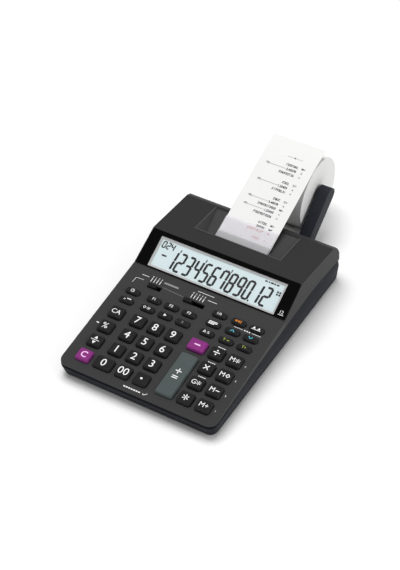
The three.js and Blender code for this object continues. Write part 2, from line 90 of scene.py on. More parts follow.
# Width, depth, corner and height of a cap, and how far it stands to the right of its column.
LARGE_CAP = (14.8, 13.8, 2.2, 3.5, 0.0)
SMALL_CAP = (15.0, 7.2, 2.6, 2.8, 0.0)
SPECIAL_CAPS = {
    "0": (19.4, 13.8, 2.2, 3.5, -2.3),
    "minus": (18.4, 13.8, 2.2, 3.5, 0.0),
    "plus_equals": (18.4, 51.3, 2.2, 3.5, 0.0),
}
PURPLE_KEYS = ("clear", "minus")
KEY_FLANGE_LOW, KEY_FLANGE_TOP, KEY_FLANGE_LIP, KEY_INSET = -3.9, -2.7, 1.1, 1.2

SWITCH_ROW, TICK_PITCH = 116.2, 3.15
PANEL_END, DIAMOND_PITCH = 133.5, 1.9
MODE_REST, DECIMAL_REST = -50.2, -11.0
MODE_TICKS = [-55.2 + TICK_PITCH * i for i in range(4)]
DECIMAL_TICKS = [DECIMAL_REST + TICK_PITCH * i for i in range(5)]

STRIP_PATH = ((192.7, 29), (193.1, 38), (195, 43), (198.5, 45.2), (226, 56.6), (258, 69.9),
              (287.4, 82.9), (302, 88.2), (316, 92.1))
# The tear bar lies this far beyond the path's point at the exit.
STRIP_LEAD = 4.9
STRIP_EXIT = STRIP_PATH[2]
PAPER_WIDTH, PAPER_THICK, PAPER_CURL = 57.5, 0.12, 0.25
ROLL_Y, ROLL_Z, ROLL_RADIUS = 303.0, 47.0, 38.0
CORE_RADIUS, CORE_BORE = 7.4, 6.2
INLET_Y, INLET_Z = CASE_DEPTH - 3, 32.4
ARM_PIVOT = (258.5, 17.5)
ARM_MIDDLE, ARM_SLIM, ARM_SLIM_REACH = 37.45, 0.45, 40.0


def face_frame(y, z, tilt):
    return Matrix.Translation((0, y, z)) @ Matrix.Rotation(tilt, 4, "X")


def beyond(face, along, tilt):
    """The face that starts where another one ends."""
    corner = face @ Vector((0, along, 0))
    return face_frame(corner.y, corner.z, tilt)


PANEL = face_frame(0, 17.5, radians(8.25))
DISPLAY = beyond(PANEL, 135.4, radians(28.9))
def srgb(code):
    """A web colour as the linear colour that shaders use."""
    channels = [int(code[i:i + 2], 16) / 255 for i in (0, 2, 4)]
    return tuple(c / 12.92 if c <= 0.04045 else ((c + 0.055) / 1.055) ** 2.4 for c in channels)


# ---------------------------------------------------------------- settings

def colour_setting(name, description, code):
    return bpy.props.FloatVectorProperty(
        name=name, description=description, default=srgb(code), size=3, min=0, max=1,
        subtype="COLOR")


class FinishSettings(bpy.types.PropertyGroup):
    upper: colour_setting("Upper case", "Moulded plastic around the keys", "292929")
    lower: colour_setting("Lower case", "Moulded plastic of the base", "202228")
    key_dark: colour_setting("Dark keys", "Most of the key caps", "1c1c1d")
    key_purple: colour_setting("Purple keys", "The clear and minus key caps", "7e2c74")
    key_grey: colour_setting("Grey key", "The tall key cap", "485050")
    legend: colour_setting("Legends", "Printed marks on dark keys and on the panel", "f2f2f2")
    lcd: colour_setting("Display", "The liquid crystal display's background", "d3e3e6")
    paper: colour_setting("Paper", "The roll and the printed strip", "e2e2e1")


class ShapeSettings(bpy.types.PropertyGroup):
    edge: bpy.props.FloatProperty(
        name="Case edge", description="Rounding of the case's outer edges, in millimetres",
        default=1.5, min=0.1, max=1.6, precision=2)
    rim: bpy.props.FloatProperty(
        name="Key rim", description="Rounding around the top of a key cap, in millimetres",
        default=0.5, min=0.1, max=0.9, precision=2)
    letter_raise: bpy.props.FloatProperty(
        name="Print thickness", description="How far printed marks stand up, in millimetres",
        default=0.03, min=0.01, max=0.1, precision=3)


class StageSettings(bpy.types.PropertyGroup):
    floor: colour_setting("Floor", "The plain floor under the calculator", "f4f4f4")
    light: bpy.props.FloatProperty(
        name="Light", description="Strength of the soft studio lights", default=1.0, min=0, max=5)


# ---------------------------------------------------------------- shader wires

class Wire:
    """A shader socket that takes part in sums."""

    def __init__(self, shader, socket):
        self.shader, self.socket = shader, socket

    def maths(self, operation, first, second):
        return self.shader.add("ShaderNodeMath", {"operation": operation}, {0: first, 1: second})

    def __add__(self, other):
        return self.maths("ADD", self, other)

    def __sub__(self, other):
        return self.maths("SUBTRACT", self, other)

    def __rsub__(self, other):
        return self.maths("SUBTRACT", other, self)

    def __mul__(self, other):
        return self.maths("MULTIPLY", self, other)

    def __lt__(self, other):
        return self.maths("LESS_THAN", self, other)

    def __pow__(self, other):
        return self.maths("POWER", self, other)

    __radd__ = __add__
    __rmul__ = __mul__


class Shader:
    """A material with one Principled shader, whose sockets are set or fed from nodes."""

    def __init__(self, name, **constants):
        self.material = bpy.data.materials.new(name)
        self.material.use_nodes = True
        self.tree = self.material.node_tree
        self.surface = self.tree.nodes["Principled BSDF"]
        for key, value in constants.items():
            self.surface.inputs[key.replace("_", " ")].default_value = value
        self.coords = self.add("ShaderNodeTexCoord", output="Object")

    def add(self, kind, settings=None, values=None, output=0):
        """Any node: its settings first, then the values or links of its sockets."""
        node = self.tree.nodes.new(kind)
        for key, value in (settings or {}).items():
            setattr(node, key, value)
        for key, value in (values or {}).items():
            if isinstance(value, Wire):
                self.tree.links.new(value.socket, node.inputs[key])
            else:
                node.inputs[key].default_value = value
        return Wire(self, node.outputs[output])

    def sine(self, value):
        return self.add("ShaderNodeMath", {"operation": "SINE"}, {0: value})

    def noise(self, size, detail=3.0, stretch=(1, 1, 1)):
        """Soft noise with blobs of about `size` millimetres."""
        vector = self.add("ShaderNodeMapping", None, {"Vector": self.coords, "Scale": stretch})
        return self.add("ShaderNodeTexNoise", None,
                        {"Vector": vector, "Scale": 1 / (size * MM), "Detail": detail})

    def blend(self, factor, first, second):
        """Mixes two colours."""
        pair = [c if isinstance(c, Wire) else (*c, 1) for c in (first, second)]
        return self.add("ShaderNodeMix", {"data_type": "RGBA"},
                        {0: factor, 6: pair[0], 7: pair[1]}, output=2)

    def axis(self, name):
        return self.add("ShaderNodeSeparateXYZ", None, {0: self.coords}, output=name)

    def feed(self, name, wire):
        self.tree.links.new(wire.socket, self.surface.inputs[name])

    def bump(self, height, depth, strength=1.0):
        """Relief of about `depth` millimetres."""
        self.feed("Normal", self.add("ShaderNodeBump", None, {
            "Height": height, "Distance": depth * MM, "Strength": strength}))


def tinted(colour, gain):
    return tuple(min(1.0, c * gain) for c in colour)


# Clouds in moulded plastic, one turn of the wound paper and the tear cover's frosted band.
CLOUD_SIZE, TURN_PITCH, FROSTED_BAND = 14.0, 0.9, 8.5
def moulded(name, colour, roughness, grain=0.45, relief=0.05, spread=0.12, gloss=0.25):
    """Moulded plastic: a fine grain, faint clouds of colour and patches worn smoother."""
    shader = Shader(name, Specular_IOR_Level=gloss)
    clouds, fine = shader.noise(CLOUD_SIZE, 4), shader.noise(grain, 2)
    shader.feed("Base Color", shader.blend(
        clouds, tinted(colour, 1 - spread), tinted(colour, 1 + spread)))
    shader.feed("Roughness", roughness - 0.06 + 0.08 * clouds + 0.06 * fine)
    shader.bump(fine, relief, 0.8)
    return shader.material


def diamond_panel(name, colour):
    """The upper case's plastic: fine diamonds over the keypad, and a plain grain elsewhere."""
    shader = Shader(name, Specular_IOR_Level=0.25)
    clouds, fine = shader.noise(CLOUD_SIZE, 4), shader.noise(0.6, 2)
    across, along = shader.axis("X"), shader.axis("Y")
    turns = pi / (DIAMOND_PITCH * MM)
    waves = [shader.sine(wire * turns) for wire in (across + along, across - along)]
    keypad = along < (FRONT + PANEL_END) * MM
    diamonds = (waves[0] * waves[1] * 0.5 + 0.5) * keypad
    pale = shader.blend(clouds, tinted(colour, 0.95), tinted(colour, 1.08))
    shader.feed("Base Color", shader.blend(diamonds, pale, tinted(colour, 2.3)))
    shader.feed("Roughness", 0.5 + 0.06 * clouds + 0.06 * fine)
    shader.bump(fine * 0.5 + diamonds * 0.5, 0.1, 0.8)
    return shader.material


def printed(name, colour, roughness=0.5):
    """Thin screen print: nearly even, with a slight starved texture."""
    shader = Shader(name, Specular_IOR_Level=0.15)
    flecks = shader.noise(0.5, 2)
    shader.feed("Base Color", shader.blend(flecks, tinted(colour, 0.9), colour))
    shader.feed("Roughness", roughness - 0.05 + 0.1 * flecks)
    return shader.material


def metal(name, colour, roughness):
    """Drawn steel with faint lengthwise scratches."""
    shader = Shader(name, Metallic=1.0)
    lines = shader.noise(0.35, 3, stretch=(0.04, 1, 1))
    shader.feed("Base Color", shader.blend(lines, tinted(colour, 0.85), colour))
    shader.feed("Roughness", roughness - 0.08 + 0.16 * lines)
    shader.bump(lines, 0.01, 0.5)
    return shader.material


def clear_plastic():
    """Clear moulded plastic: mostly see-through, with its own gloss."""
    shader = Shader("clear_pane", Roughness=0.16, Specular_IOR_Level=0.2)
    dust = shader.noise(3, 3)
    shader.feed("Base Color", shader.blend(dust, (0.4, 0.4, 0.42), (0.6, 0.6, 0.62)))
    shader.feed("Alpha", 0.03 + 0.02 * dust)
    return shader.material


def smoked_plastic():
    """The tear cover's plastic: a lavender tint, and a frosted band along its cutting edge."""
    shader = Shader("tear_plastic", Specular_IOR_Level=0.15)
    frosted = shader.axis("Y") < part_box("tear_cover")[0].y + FROSTED_BAND * MM
    speckle = shader.noise(0.4, 2)
    shader.feed("Base Color", shader.blend(
        frosted, srgb("e0dde4"), shader.blend(speckle, srgb("a6a6a8"), srgb("bcbcbe"))))
    shader.feed("Alpha", 0.3 + 0.45 * frosted)
    shader.feed("Roughness", 0.3 + 0.3 * frosted)
    return shader.material


def paper_finish(colour, name="paper"):
    """Uncoated paper: faint fibres and a soft mottle."""
    shader = Shader(name, Roughness=0.85)
    fibres = shader.noise(0.6, 5, stretch=(1, 0.3, 0.3))
    mottle = shader.noise(9, 3)
    shader.feed("Base Color", shader.blend(
        fibres * 0.5 + mottle * 0.5, tinted(colour, 0.94), colour))
    shader.bump(fibres, 0.03, 0.5)
    return shader.material


def wound_paper_painted_light(colour):
    """The ends of a paper roll, where hundreds of turns show as fine rings, painted lighter than the
    paper itself as painted light on the ends.
    """
    shader = Shader("paper_turns", Roughness=0.9)
    away_y = shader.axis("Y") - (FRONT + ROLL_Y) * MM
    away_z = shader.axis("Z") - ROLL_Z * MM
    radius = (away_y * away_y + away_z * away_z) ** 0.5
    turns = shader.sine(radius * (2 * pi / (TURN_PITCH * MM)))
    uneven = shader.noise(2.5, 3)
    rings = turns * 0.25 + uneven * 0.5 + 0.25
    # Real rings on a colour raised above the paper's: painted light on the roll's ends.
    shader.feed("Base Color", shader.blend(rings, tinted(colour, 0.98), tinted(colour, 1.15)))
    shader.bump(rings, 0.12, 0.6)
    return shader.material


def lcd_finish(colour):
    """The display's back layer, slightly uneven, under a smooth film."""
    shader = Shader("lcd_glass", Specular_IOR_Level=0.2)
    cells, clouds = shader.noise(0.3, 1), shader.noise(25, 2)
    shader.feed("Base Color", shader.blend(
        cells * 0.3 + clouds * 0.5, tinted(colour, 0.93), colour))
    shader.feed("Roughness", 0.45 + 0.1 * cells)
    return shader.material


def gloss_black():
    """The window's painted border, deep black under a clear face."""
    shader = Shader("window_black", Specular_IOR_Level=0.08)
    haze = shader.noise(12, 4)
    shader.feed("Base Color", shader.blend(
        haze, (0.0006, 0.0006, 0.0006), (0.0015, 0.0015, 0.0018)))
    shader.feed("Roughness", 0.12 + 0.1 * haze)
    return shader.material


FINISHES = {}


def make_finishes(colours):
    """Every finish of the calculator, by the name that pieces use for it."""
    FINISHES.update(
        upper=diamond_panel("upper_plastic", colours.upper),
        lower=moulded("lower_plastic", colours.lower, 0.42, grain=0.6, relief=0.04, gloss=0.04),
        arm=moulded("arm_plastic", srgb("2a2c32"), 0.42, grain=0.6, relief=0.04, gloss=0.04),
        tray=moulded("tray_plastic", srgb("3f3f3f"), 0.5, grain=0.6, relief=0.06),
        key_dark=moulded("key_dark", colours.key_dark, 0.42, grain=0.5, relief=0.03),
        key_purple=moulded("key_purple", colours.key_purple, 0.36, grain=0.5, relief=0.03),
        key_grey=moulded("key_grey", colours.key_grey, 0.4, grain=0.5, relief=0.03),
        white=printed("legend_white", colours.legend),
        pink=printed("legend_pink", srgb("f0c4ea")),
        orange=printed("legend_orange", srgb("d08030")),
        cyan=printed("legend_cyan", srgb("58b4c8")),
        lime=printed("legend_lime", srgb("aabf4e")),
        faint=printed("legend_faint", srgb("8a8a8a")),
        ink=printed("print_black", srgb("3a3a40"), 0.8),
        red_ink=printed("print_red", srgb("cc5a50"), 0.8),
        crystal=printed("lcd_segments", srgb("040506"), 0.5),
        black=gloss_black(),
        silver=moulded("bezel_silver", srgb("b2b2b2"), 0.45, grain=0.4, relief=0.01, spread=0.04),
        steel=metal("chassis_steel", srgb("9a9da0"), 0.35),
        lcd=lcd_finish(colours.lcd),
        clear=clear_plastic(),
        smoked=smoked_plastic(),
        paper=paper_finish(colours.paper),
        turns=wound_paper_painted_light(colours.paper),
        card=paper_finish(srgb("8f7a63"), "core_card"),
        rubber=moulded("soft_rubber", srgb("1b1b1b"), 0.8, grain=0.3, relief=0.03),
        board=moulded("board_lacquer", srgb("2f5b34"), 0.45, grain=1.2, relief=0.03, spread=0.25),
        ink_felt=moulded("ink_felt", srgb("33264f"), 0.9, grain=0.25, relief=0.12),
        cell=moulded("cell_sleeve", srgb("3c5f86"), 0.35, grain=1.0, relief=0.01),
        # Black plastic of the jack, also used as painted shade along the case seam.
        dark=moulded("inner_black_and_painted_seam_shade", srgb("101012"), 0.6, grain=0.6, relief=0.03),
    )


# ---------------------------------------------------------------- shapes

def placed(bm, matrix):
    """Moves a whole shape."""
    bmesh.ops.transform(bm, matrix=matrix, verts=bm.verts)
    return bm


def shifted(x=0.0, y=0.0, z=0.0):
    return Matrix.Translation((x, y, z))


def absorb(bm, other, matrix=None, finish=None):
    """Moves another shape into `bm`, placed by `matrix` and with its faces given one finish."""
    if finish is not None:
        for face in other.faces:
            face.material_index = finish
    mesh = bpy.data.meshes.new("part")
    other.to_mesh(mesh)
    other.free()
    if matrix is not None:
        mesh.transform(matrix)
    bm.from_mesh(mesh)
    bpy.data.meshes.remove(mesh)
    return bm


def bevelled(bm, edges, width, segments=2):
    if edges:
        bmesh.ops.bevel(bm, geom=list(edges), offset=width, offset_type="OFFSET", affect="EDGES",
                        segments=segments, profile=0.5, material=-1, clamp_overlap=True)
    return bm


def middle(edge):
    return (edge.verts[0].co + edge.verts[1].co) / 2


def sharp(bm, degrees=30, where=lambda point: True):
    return [e for e in bm.edges
            if e.is_manifold and abs(e.calc_face_angle(0)) > radians(degrees) and where(middle(e))]


def block(size, centre, edge=0.0, segments=2):
    bm = bmesh.new()
    verts = bmesh.ops.create_cube(bm, size=1)["verts"]
    bmesh.ops.scale(bm, vec=size, verts=verts)
    bmesh.ops.translate(bm, vec=centre, verts=verts)
    return bevelled(bm, bm.edges[:], edge, segments) if edge else bm


def pill(width, depth, corner, low, high, segments=5):
    """An upright block with rounded corners."""
    bm = block((width, depth, high - low), (0, 0, (low + high) / 2))
    uprights = [e for e in bm.edges if abs((e.verts[0].co - e.verts[1].co).z) > 1e-4]
    return bevelled(bm, uprights, corner, segments)


def top_face(bm):
    return max(bm.faces, key=lambda f: (round(f.normal.z, 2), f.calc_center_median().z))


def cylinder(radius, length, sides, edge=0.0):
    """A round bar along Z, centred on the origin."""
    bm = bmesh.new()
    bmesh.ops.create_cone(bm, cap_ends=True, segments=sides, radius1=radius, radius2=radius,
                          depth=length)
    rims = [e for e in bm.edges if abs(e.verts[0].co.z - e.verts[1].co.z) < 1e-6]
    return bevelled(bm, rims, edge) if edge else bm


def bar(radius, x0, x1, centre, sides=32, edge=0.0):
    """A round bar along X, centred on a point in side view."""
    return placed(cylinder(radius, x1 - x0, sides, edge),
                  shifted((x0 + x1) / 2, *centre) @ Matrix.Rotation(pi / 2, 4, "Y"))


def disc(radius, low, high, place, sides=32, edge=0.0):
    """A round disc standing on a face."""
    return placed(cylinder(radius, high - low, sides, edge), place @ shifted(z=(low + high) / 2))


def tube(radii, x0, x1, centre, sides=48):
    """A hollow bar along X, from a turned section."""
    bm = bmesh.new()
    inner, outer = radii
    section = ((x0, inner), (x1, inner), (x1, outer), (x0, outer))
    corners = [bm.verts.new((x, 0, r)) for x, r in section]
    edges = [bm.edges.new((corners[i], corners[(i + 1) % 4])) for i in range(4)]
    bmesh.ops.spin(bm, geom=corners + edges, cent=(0, 0, 0), axis=(1, 0, 0), angle=2 * pi,
                   steps=sides, use_merge=True)
    bmesh.ops.remove_doubles(bm, verts=bm.verts, dist=1e-4)
    bmesh.ops.recalc_face_normals(bm, faces=bm.faces)
    return placed(bm, shifted(0, *centre))


def frame_plate(columns, rows, top, thickness):
    """A flat frame: `rows` and `columns` are its outer and inner edges, front to back and
    left to right, and each column gives its place at the front and at the back."""
    bm = bmesh.new()
    bmesh.ops.create_grid(bm, x_segments=3, y_segments=3, size=1.5)
    for vert in bm.verts:
        i, j = round(vert.co.x + 1.5), round(vert.co.y + 1.5)
        low, high = columns[i]
        vert.co = (low + (high - low) * j / 3, rows[j], top)
    opening = Vector((0, (rows[1] + rows[2]) / 2, top))
    centre = min(bm.faces, key=lambda f: (f.calc_center_median() - opening).length)
    bmesh.ops.delete(bm, geom=[centre], context="FACES_ONLY")
    bmesh.ops.recalc_face_normals(bm, faces=bm.faces)
    walls = bmesh.ops.extrude_face_region(bm, geom=bm.faces[:])["geom"]
    bmesh.ops.translate(bm, vec=(0, 0, -thickness),
                        verts=[v for v in walls if isinstance(v, bmesh.types.BMVert)])
    bmesh.ops.recalc_face_normals(bm, faces=bm.faces)
    return bm


def stroke(start, end, width, high):
    """A straight printed stroke between two points of a face."""
    a, b = Vector(start), Vector(end)
    bm = block(((b - a).length + width * 0.5, width, high), (0, 0, high / 2))
    turn = Matrix.Rotation(atan2(b.y - a.y, b.x - a.x), 4, "Z")
    return placed(bm, shifted(*((a + b) / 2)) @ turn)


def dash(width, depth, x, along, high):
    """A short printed bar that lies square on a face."""
    return block((width, depth, high), (x, along, high / 2))


def strokes(points, width, high):
    bm = bmesh.new()
    for start, end in zip(points, points[1:]):
        absorb(bm, stroke(start, end, width, high))
    return bm


def polygon(sides, radius, high, turn=0.0):
    """A flat filled shape, such as a triangle, a square or a dot."""
    return placed(cylinder(radius, high, sides),
                  shifted(z=high / 2) @ Matrix.Rotation(turn, 4, "Z"))


def lettering(text, height, thick, weight=0.0, squeeze=1.0):
    """Raised figures centred on the origin, `height` tall for a capital."""
    curve = bpy.data.curves.new("lettering", "FONT")
    curve.body, curve.size = text, height / 0.73
    curve.align_x, curve.resolution_u = "CENTER", 3
    curve.offset, curve.extrude = weight * height, thick / 2
    holder = bpy.data.objects.new("lettering", curve)
    bpy.context.scene.collection.objects.link(holder)
    mesh = bpy.data.meshes.new_from_object(
        holder.evaluated_get(bpy.context.evaluated_depsgraph_get()))
    bm = bmesh.new()
    bm.from_mesh(mesh)
    bpy.data.objects.remove(holder)
    bpy.data.curves.remove(curve)
    bpy.data.meshes.remove(mesh)
    bmesh.ops.remove_doubles(bm, verts=bm.verts, dist=1e-4)
    low = Vector([min(v.co[i] for v in bm.verts) for i in range(3)])
    high = Vector([max(v.co[i] for v in bm.verts) for i in range(3)])
    shift = Vector((-(low.x + high.x) / 2, -(low.y + high.y) / 2, -low.z))
    bmesh.ops.translate(bm, vec=shift, verts=bm.verts)
    bmesh.ops.scale(bm, vec=(squeeze, 1, 1), verts=bm.verts)
    return bm


def copy_of(node):
    """A CAD node's shape in millimetres, with its triangles joined into flat faces."""
    bm = bmesh.new()
    bm.from_mesh(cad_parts[node].data)
    placed(bm, PLACE.inverted())
    bmesh.ops.remove_doubles(bm, verts=bm.verts, dist=0.003)
    bmesh.ops.dissolve_limit(bm, angle_limit=radians(1), verts=bm.verts, edges=bm.edges)
    return bm


def settle(bm, name, finishes, body, replaces=(), smooth=32):
    """Makes the finished piece: its place goes into its mesh, and it rides on a body."""
    placed(bm, PLACE)
    mesh = bpy.data.meshes.new(name)
    for face in bm.faces:
        face.smooth = True
    bm.to_mesh(mesh)
    bm.free()
    mesh.set_sharp_from_angle(angle=radians(smooth))
    for finish in finishes.split():
        mesh.materials.append(FINISHES[finish])
    piece = bpy.data.objects.new(name, mesh)
    bpy.context.scene.collection.objects.link(piece)
    flat = piece.modifiers.new("flat_faces", "WEIGHTED_NORMAL")
    flat.keep_sharp, flat.weight = True, 90
    if body:
        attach(piece, body)
    if replaces:
        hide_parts(*replaces)
    return piece


def seam_height(y):
    """Height of the parting line at a distance from the front."""
    for (y0, z0), (y1, z1) in zip(SEAM, SEAM[1:]):
        if y <= y1:
            return z0 + (z1 - z0) * (y - y0) / (y1 - y0)
    return SEAM[-1][1]


def draft_in(y, z):
    """How far the sides lean in at a height above the parting line."""
    return SIDE_DRAFT * max(0.0, z - seam_height(y))


# ---------------------------------------------------------------- case

# The upper case's rim is rounded near its outside and above the seam.
SIDE_WALL, RIM_BAND, RIM_LIFT = 76.0, 0.6, 1.2
RIM_FRONT, RIM_REAR = 12.0, 232.0
MOUTH_FRONT, MOUTH_REAR, MOUTH_LOW, MOUTH_HALF, MOUTH_EDGE = 183.0, 240.0, 42.0, 60.0, 0.5
# Under the seam the lower case leans in over a light bevel, which is deeper at the rear.
BEVEL_FRONT, BEVEL_GROWTH, BEVEL_LEAN = 2.6, 5.4, 1.7
FOOT_CUT, FOOT_LEAN, FOOT_CURVE = 4.6, 2.0, 1.5
LIP_DEPTH, SKIN = 0.8, 0.4
FOOT_EDGE, SOCKET_EDGE = 1.6, 0.5
def build_upper_case(edge):
    bm = copy_of("upper_case")
    for vert in bm.verts:
        if abs(vert.co.x) > SIDE_WALL:
            vert.co.x -= draft_in(vert.co.y, vert.co.z) * (1 if vert.co.x > 0 else -1)

    def on_rim(point):
        side = abs(point.x) > CASE_HALF - draft_in(point.y, point.z) - RIM_BAND
        ends = point.y < RIM_FRONT or point.y > RIM_REAR
        return (side or ends) and point.z > seam_height(point.y) + RIM_LIFT

    def at_mouth(point):
        return (MOUTH_FRONT < point.y < MOUTH_REAR and point.z > MOUTH_LOW
                and abs(point.x) < MOUTH_HALF)

    # Downward faces along the seam take the black finish: painted shade in the seam gap.
    for face in bm.faces:
        centre = face.calc_center_median()
        if face.normal.z < -0.7 and abs(centre.z - seam_height(centre.y)) < 1:
            face.material_index = 1
    bevelled(bm, sharp(bm, 35, on_rim), edge, 3)
    bevelled(bm, sharp(bm, 35, at_mouth), MOUTH_EDGE, 2)
    settle(bm, "upper_case_shell", "upper dark", "case", ["upper_case"])


def bevel_line(y):
    """Where the light bevel under the seam ends."""
    return seam_height(y) - BEVEL_FRONT - BEVEL_GROWTH * max(0.0, min(1.0, y / CASE_DEPTH))


def shape_wall(vert):
    """Leans a point of the lower case's outer wall in, and drops its lip to open the seam."""
    x, y, z = vert.co
    back = UNDERCUT_DEPTH * max(0.0, 1 - z / UNDERCUT_TOP)
    plan_y = (y - back) / (1 - back / UNDERCUT_REACH) if y < UNDERCUT_REACH else y
    corner = FRONT_CORNER if y < CASE_DEPTH / 2 else REAR_CORNER
    out = abs(x) - (CASE_HALF - corner)
    ahead = max(corner - plan_y, plan_y - (CASE_DEPTH - corner), 0.0)
    inside = out <= 0 and ahead < corner - 0.3 or hypot(max(out, 0), ahead) < corner - SKIN
    if inside or y > CASE_DEPTH + 0.2:
        return
    line = bevel_line(y)
    if z > line:
        inward = BEVEL_LEAN * (z - line) / (seam_height(y) - line)
    else:
        inward = FOOT_LEAN * ((line - z) / line) ** FOOT_CURVE
    vert.co.x -= inward * max(0.0, out) / corner * (1 if x > 0 else -1)
    if z > line and y < CASE_DEPTH / 2:
        vert.co.y += inward * ahead / corner
    if z > seam_height(y) - LIP_DEPTH:
        vert.co.z -= SEAM_GROOVE


def build_lower_case():
    bm = copy_of("lower_case")
    low_front, low_rear = bevel_line(0), bevel_line(CASE_DEPTH)
    tilt = Vector((0, low_front - low_rear, CASE_DEPTH)).normalized()
    for point, normal in (((0, 0, low_front), tilt), ((0, 0, FOOT_CUT), (0, 0, 1))):
        walls = [f for f in bm.faces if abs(f.normal.z) < 0.2 and f.calc_center_median().z > 5]
        edges = {e for f in walls for e in f.edges}
        verts = {v for f in walls for v in f.verts}
        bmesh.ops.bisect_plane(bm, geom=[*verts, *edges, *walls], dist=1e-4,
                               plane_co=point, plane_no=normal)
    for vert in bm.verts:
        shape_wall(vert)
    # Upward faces along the seam take the black finish: painted shade in the seam groove.
    for face in bm.faces:
        centre = face.calc_center_median()
        if face.normal.z > 0.7 and centre.z > seam_height(centre.y) - 1:
            face.material_index = 1
    under = sharp(bm, 50, lambda p: p.z < 2.4 and (abs(p.x) > 79 or p.y < 3))
    bevelled(bm, under, FOOT_EDGE, 3)
    bevelled(bm, sharp(bm, 40, lambda p: p.y > CASE_DEPTH + 1), SOCKET_EDGE, 2)
    settle(bm, "lower_case_shell", "lower dark", "case", ["lower_case"])


# ---------------------------------------------------------------- display

LCD_OUT, LCD_LOW, LCD_HIGH = 68.5, 2.2, 34.2
DIGIT_PITCH, DIGIT_WIDTH, DIGIT_HEIGHT, DIGIT_LOW, DIGIT_SLANT = 9.3, 5.6, 18.6, 6.4, 0.09
SEGMENTS = {"0": "abcdef", "1": "bc", "2": "abged", "3": "abgcd", "4": "fgbc", "5": "afgcd",
            "6": "afgedc", "7": "fabc", "8": "abcdefg", "9": "gfabcd"}


DIGIT_FIRST, DIGIT_THICK = -52.3, 2.7
COUNT_FIRST, COUNT_LOW, COUNT_PITCH, COUNT_SIZE = -64.6, 24.3, 4.7, (3.0, 6.4, 1.5)
WINDOW_LOW, WINDOW_HIGH, WINDOW_GAP, WINDOW_CORNER = 0.5, 38.9, 0.75, 2.2
WINDOW_RISE, WINDOW_THICK, BEZEL_WIDTH, BEZEL_DROP = 0.28, 1.2, 1.9, 0.8
CELL_FACE = -1.9
def segment(start, end, thick, high):
    """One liquid crystal bar with pointed ends."""
    a, b = Vector(start), Vector(end)
    bm = placed(cylinder(thick / 2, high, 6), Matrix.Rotation(pi / 2, 4, "Z"))
    for vert in bm.verts:
        vert.co.x += ((b - a).length / 2 - thick * 0.5) * (1 if vert.co.x > 0 else -1)
    turn = Matrix.Rotation(atan2(b.y - a.y, b.x - a.x), 4, "Z")
    return placed(bm, shifted(*((a + b) / 2), high / 2) @ turn)


def digit(character, x, low, width, height, thick, high):
    """A seven-bar figure whose lower left corner is at x, low."""
    half = height / 2
    ends = {
        "a": ((0, height), (width, height)), "b": ((width, half), (width, height)),
        "c": ((width, 0), (width, half)), "d": ((0, 0), (width, 0)), "e": ((0, 0), (0, half)),
        "f": ((0, half), (0, height)), "g": ((0, half), (width, half)),
    }
    bm = bmesh.new()
    for name in SEGMENTS[character]:
        absorb(bm, segment(*ends[name], thick, high))
    slant = Matrix.Identity(4)
    slant[0][1] = DIGIT_SLANT
    return placed(bm, shifted(x, low) @ slant)


def build_window():
    """The window's black border, and the clear pane inside it."""
    def half_width(along):
        point = DISPLAY @ Vector((0, along, 0))
        return CASE_HALF - draft_in(point.y, point.z) - WINDOW_GAP

    edge_low, edge_high = half_width(WINDOW_LOW), half_width(WINDOW_HIGH)
    inner = LCD_OUT + 0.2
    columns = ((-edge_low, -edge_high), (-inner, -inner), (inner, inner), (edge_low, edge_high))
    rows = (WINDOW_LOW, LCD_LOW - 0.2, LCD_HIGH + 0.2, WINDOW_HIGH)
    border = frame_plate(columns, rows, WINDOW_RISE, WINDOW_THICK)
    corners = [e for e in sharp(border, 60) if abs(middle(e).x) > SIDE_WALL
               and abs((e.verts[0].co - e.verts[1].co).z) > 1]
    bevelled(border, corners, WINDOW_CORNER, 4)
    bevelled(border, sharp(border, 60, lambda p: p.z > 0.2), 0.15, 2)
    settle(placed(border, DISPLAY), "window_border", "black", "case")

    pane = pill(2 * LCD_OUT, LCD_HIGH - LCD_LOW, 0.4, -0.35, -0.05, 2)
    settle(placed(pane, DISPLAY @ shifted(y=(LCD_LOW + LCD_HIGH) / 2)),
           "window_pane", "clear", "case", ["display_window"])


def build_badge(thick):
    """A small underlined figure printed at the right end of the border."""
    badge = placed(lettering("12", 3.4, thick), shifted(75.2, 6.9))
    absorb(badge, stroke((72.6, 4.1), (77.8, 4.1), 0.5, thick))
    settle(placed(badge, DISPLAY @ shifted(z=WINDOW_RISE)), "window_badge", "white", "case")


